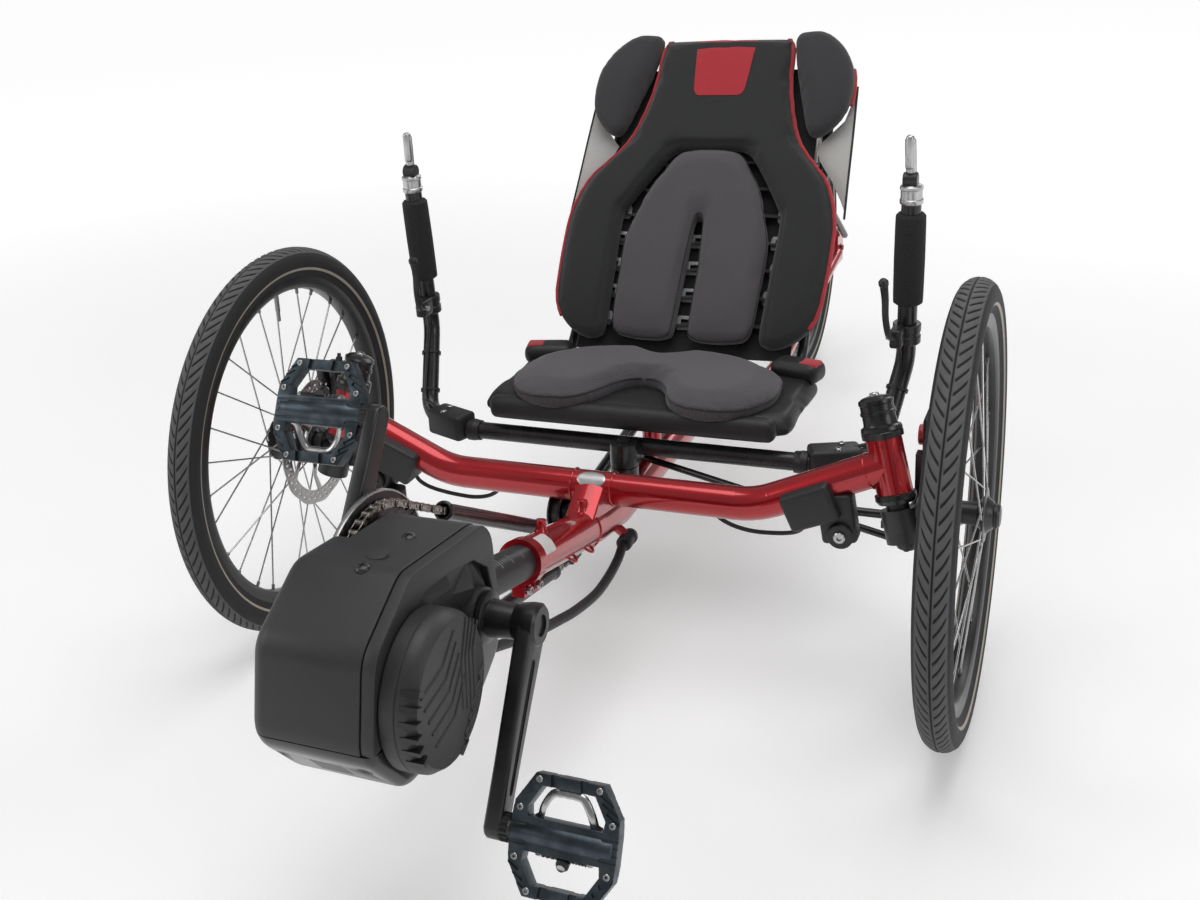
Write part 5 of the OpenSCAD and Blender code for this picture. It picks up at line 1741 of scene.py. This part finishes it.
straps = []
for k in range(7):
    d = 50 + 40 * k
    half = 146
    route = [bowed(x, d + 3 * math.sin(x / 40), -32.0) for x in np.linspace(-half, half, 25)]
    straps.append(tube("strap", route, 0.0105, web_black, 12, 0.09))
    for x in (-118 + 3 * (k % 2), 0, 117 - 4 * (k % 2)):
        clip = plate("clip", [(a / 1000, b / 1000) for a, b in
                              ((x - 11, d - 10), (x + 11, d - 10), (x + 13, d - 6), (x + 13, d + 6),
                               (x + 11, d + 10), (x - 11, d + 10), (x - 13, d + 6),
                               (x - 13, d - 6))], -31.6, -29.2, clip_clear,
                     [[(a / 1000, b / 1000) for a, b in
                       ((x - 7, d - 5), (x + 7, d - 5), (x + 7, d + 5), (x - 7, d + 5))]], 0.5)
        straps.append(laid_on(clip, bowed))
settle(joined("sling.straps", straps), "frame", "mesh_fabric")
panels = []
for side in (-1, 1):
    shape = [(142, 312), (176, 352), (187, 398), (191, 300), (194, 214), (186, 232), (170, 262),
             (150, 292)]
    outline = [(side * x / 1000, d / 1000) for x, d in shape]
    panels.append(laid_on(plate("panel", outline, -31, -29.8, mesh_white, (), 0.2, 1), bowed))
    edge = [bowed(side * x, d, -30.4) for x, d in ((194, 206), (192, 260), (190, 330), (187, 404))]
    panels.append(tube("edge", smooth_route(edge, 5), 0.0016, seam_thread, 8))
settle(joined("sling.side_panels", panels), "frame", "mesh_fabric")

# ---------- seat pads ----------
# Foam pads in knitted covers: a black shield with an arched opening, a grey
# forked back cushion and winged head pads; a black base under a grey cushion.


def places_of(mesh):
    """The mesh's points as an array."""
    places = np.zeros(len(mesh.vertices) * 3)
    mesh.vertices.foreach_get("co", places)
    return places.reshape(-1, 3)


def stuffed(name, outline, low, high, place, material, cap, edge, voxel=0.006, seams=()):
    """A pad blown up under its cover: x and along outline in mm, from low to high."""
    loop = [(x / 1000, y / 1000) for x, y in outline]
    pad = plate(name, loop, low, high, material, (), edge, 4)
    finished(pad, ("REMESH", {"mode": "VOXEL", "voxel_size": voxel, "use_smooth_shade": True}))
    before = places_of(pad.data)
    after = before
    cloth = pad.modifiers.new("cloth", "CLOTH")
    cloth.settings.quality = 4
    cloth.settings.mass = 0.3
    cloth.settings.tension_stiffness = 12
    cloth.settings.compression_stiffness = 12
    cloth.settings.bending_stiffness = 0.4
    cloth.settings.use_pressure = True
    cloth.settings.uniform_pressure_force = 4
    cloth.settings.effector_weights.gravity = 0
    cloth.collision_settings.use_collision = False
    cloth.point_cache.frame_start = 1
    cloth.point_cache.frame_end = 20
    for step in range(1, 21):
        scene.frame_set(step)
    depsgraph = bpy.context.evaluated_depsgraph_get()
    after = places_of(pad.evaluated_get(depsgraph).to_mesh())
    pad.evaluated_get(depsgraph).to_mesh_clear()
    pad.modifiers.clear()
    scene.frame_set(1)
    moved = after - before
    moved[:, 1:] *= 0.25                        # the sewn edge holds its outline
    length = np.linalg.norm(moved, axis=1, keepdims=True) + 1e-9
    moved = moved * np.minimum(1.0, cap / 1000 / length)
    shaped = before + moved
    shaped[:, 0] = np.maximum(shaped[:, 0], low / 1000)
    pad.data.vertices.foreach_set("co", shaped.reshape(-1))
    finished(pad, ("SUBSURF", {"levels": 1, "render_levels": 1}))
    points = places_of(pad.data)
    line = np.array(loop)
    following = np.roll(line, -1, axis=0)
    reach = np.full(len(points), 1.0)
    for a, b in zip(line, following):
        run = b - a
        t = np.clip(((points[:, 1:] - a) @ run) / max(run @ run, 1e-12), 0, 1)
        foot = a + t[:, None] * run
        reach = np.minimum(reach, np.linalg.norm(points[:, 1:] - foot, axis=1))
    top = points[:, 0] > (low + high) / 2000
    seam_width = 0.0022
    for offset, depth in seams:
        sink = depth / 1000 * np.exp(-((reach - offset / 1000) / seam_width) ** 2)
        points[:, 0] -= np.where(top, sink, 0)
    pad.data.vertices.foreach_set("co", points.reshape(-1))
    laid_on(pad, place)
    pad.name = name
    return show(pad, material, 60)


def piping(target, route, place, material, radius, out):
    """A cord of trim sewn on a pad's edge: it follows the pad's surface."""
    centre = sum((place(x, y, out) for x, y in route), Vector()) / len(route)
    places = []
    for x, y in route:
        spot = place(x, y, out)
        found, where, normal, _ = target.closest_point_on_mesh(spot + (spot - centre) * 0.06)
        places.append(where + normal * radius * 0.0002 if found else spot)
    return tube("piping", places, radius / 1000, material, 8)


def patch(name, target, rows, place, material):
    """Cloth sewn flat on a pad: rows of (along, left x, right x), seen from above."""
    wide = 14
    high = 60.0
    points = []
    for layer in (-1.2, 0.9):
        for along, left, right in rows:
            for c in range(wide + 1):
                x = left + (right - left) * c / wide
                start = place(x, along, high)
                aim = (place(x, along, -high) - start).normalized()
                found, where, _, _ = target.ray_cast(start, aim)
                spot = where if found else place(x, along, 0)
                points.append(spot - aim * layer / 1000)
    cloth = mesh_piece(name, points, two_layers(len(rows), wide + 1))
    return show(outward(cloth), material, 45)


shield_outer = [(184, 58), (189, 100), (191, 150), (189, 198), (174, 248), (150, 284), (128, 316),
                (114, 356), (103, 410), (96, 466)]
shield_half = ([(0, 300), (34, 301), (54, 296), (74, 268), (104, 214), (111, 192), (110, 110),
                (109, 40), (113, 18), (134, 12), (164, 28)] + shield_outer
               + [(90, 476), (50, 479), (0, 480)])
shield = stuffed("seat.shield", smooth_loop(both_halves(shield_half), 4), -29, -6, bowed,
                 cover_black, 6.0, 8.0, 0.006, [(9, 1.3)])
cushion_half = [(0, 200), (5, 194), (8, 150), (11, 90), (13, 40), (17, 22), (40, 17), (84, 20),
                (100, 34), (103, 80), (104, 140), (101, 176), (82, 236), (60, 274), (44, 294),
                (24, 300), (0, 301)]
cushion = stuffed("seat.back_cushion", smooth_loop(both_halves(cushion_half), 4), -28, -3, bowed,
                  pad_grey, 6.0, 9.0, 0.006, [(6, 0.8)])
wings = []
for side in (-1, 1):
    wing = [(96, 474), (112, 482), (138, 480), (164, 458), (182, 424), (186, 388), (180, 356),
            (164, 332), (146, 320), (131, 328), (115, 380), (102, 430)]
    wings.append(stuffed("wing", smooth_loop([(side * x, d) for x, d in wing], 4), -26, 0, bowed,
                         wing_grey, 9.0, 10.0, 0.006))
wing_pair = joined("seat.wings", wings)
base_half = [(0, 108), (70, 107), (130, 110), (186, 118), (200, 132), (203, 160), (203, 260),
             (199, 284), (184, 295), (120, 298), (0, 298)]
base = stuffed("seat.base", smooth_loop(both_halves(base_half), 3), 254, 273, at,
               hide_black.material, 6.0, 9.0, 0.007, [(7, 1.2)])
thigh_half = [(0, 186), (20, 178), (34, 158), (48, 128), (66, 108), (100, 98), (134, 106),
              (158, 130), (172, 164), (172, 200), (162, 236), (124, 268), (70, 286), (36, 288),
              (14, 278), (0, 270)]
thigh = stuffed("seat.base_cushion", smooth_loop(both_halves(thigh_half), 4), 273, 297, at,
                base_grey, 9.0, 9.0, 0.006, [(7, 0.8)])
for pad, node, slot, fill in (
        (shield, "seat_back_pad", "cover_fabric", 0.75),
        (cushion, "back_cushion", "pad_fabric", 0.75),
        (wing_pair, "headrest_pads", "pad_fabric", 0.8),
        (base, "seat_base_pad", "cover_fabric", 0.7),
        (thigh, "base_cushion", "pad_fabric", 0.75)):
    settle(pad, "frame", slot, node)

trim = []
bolsters = []
for side in (-1, 1):
    run = [(side * x, d) for x, d in smooth_loop(shield_outer, 6)[:54]]
    for out, radius in ((-9, 2.4), (-12.5, 2.2)):
        trim.append(piping(shield, run, bowed, trim_red, radius, out))
    trim.append(piping(wing_pair, [(side * x, d) for x, d in
                                   ((182, 424), (185, 412), (187, 398), (187, 386), (185, 372))],
                       bowed, trim_red, 4.0, -22))
    bolsters.append(soft_box("bolster", at(side * 170, 284, 283), (66, 40, 28), side * -14, "Z",
                             12, hide_black.material, 5))
    trim.append(soft_box("tab", at(side * 186, 280, 292), (26, 26, 10), side * -14, "Z", 4,
                         trim_red, 3))
bolsters.append(soft_box("front_roll", at(0, 118, 265), (366, 27, 30), 0, "Z", 12,
                         hide_black.material, 5))
for bolster in bolsters:
    finished(bolster, ("SUBSURF", {"levels": 1, "render_levels": 1}))
tab_rows = [(475, -43, 43), (468, -43, 43), (450, -41.5, 41.5), (430, -40, 40), (410, -38.5, 38.5),
            (396, -37, 37), (388, -36, 36), (383, -33, 33), (380.5, -29, 29)]
trim.append(patch("top_tab", shield, tab_rows, bowed, trim_red))
settle(joined("seat.red_trim", trim), "frame", "cover_fabric")
settle(joined("seat.bolsters", bolsters), "frame", "cover_fabric")
threads = [piping(thigh, smooth_loop(both_halves(thigh_half), 5), at, seam_thread, 1.1, 292),
           piping(cushion, smooth_loop(both_halves(cushion_half), 5), bowed, seam_thread, 1.0, -7)]
settle(joined("seat.seams", threads), "frame", "pad_fabric")
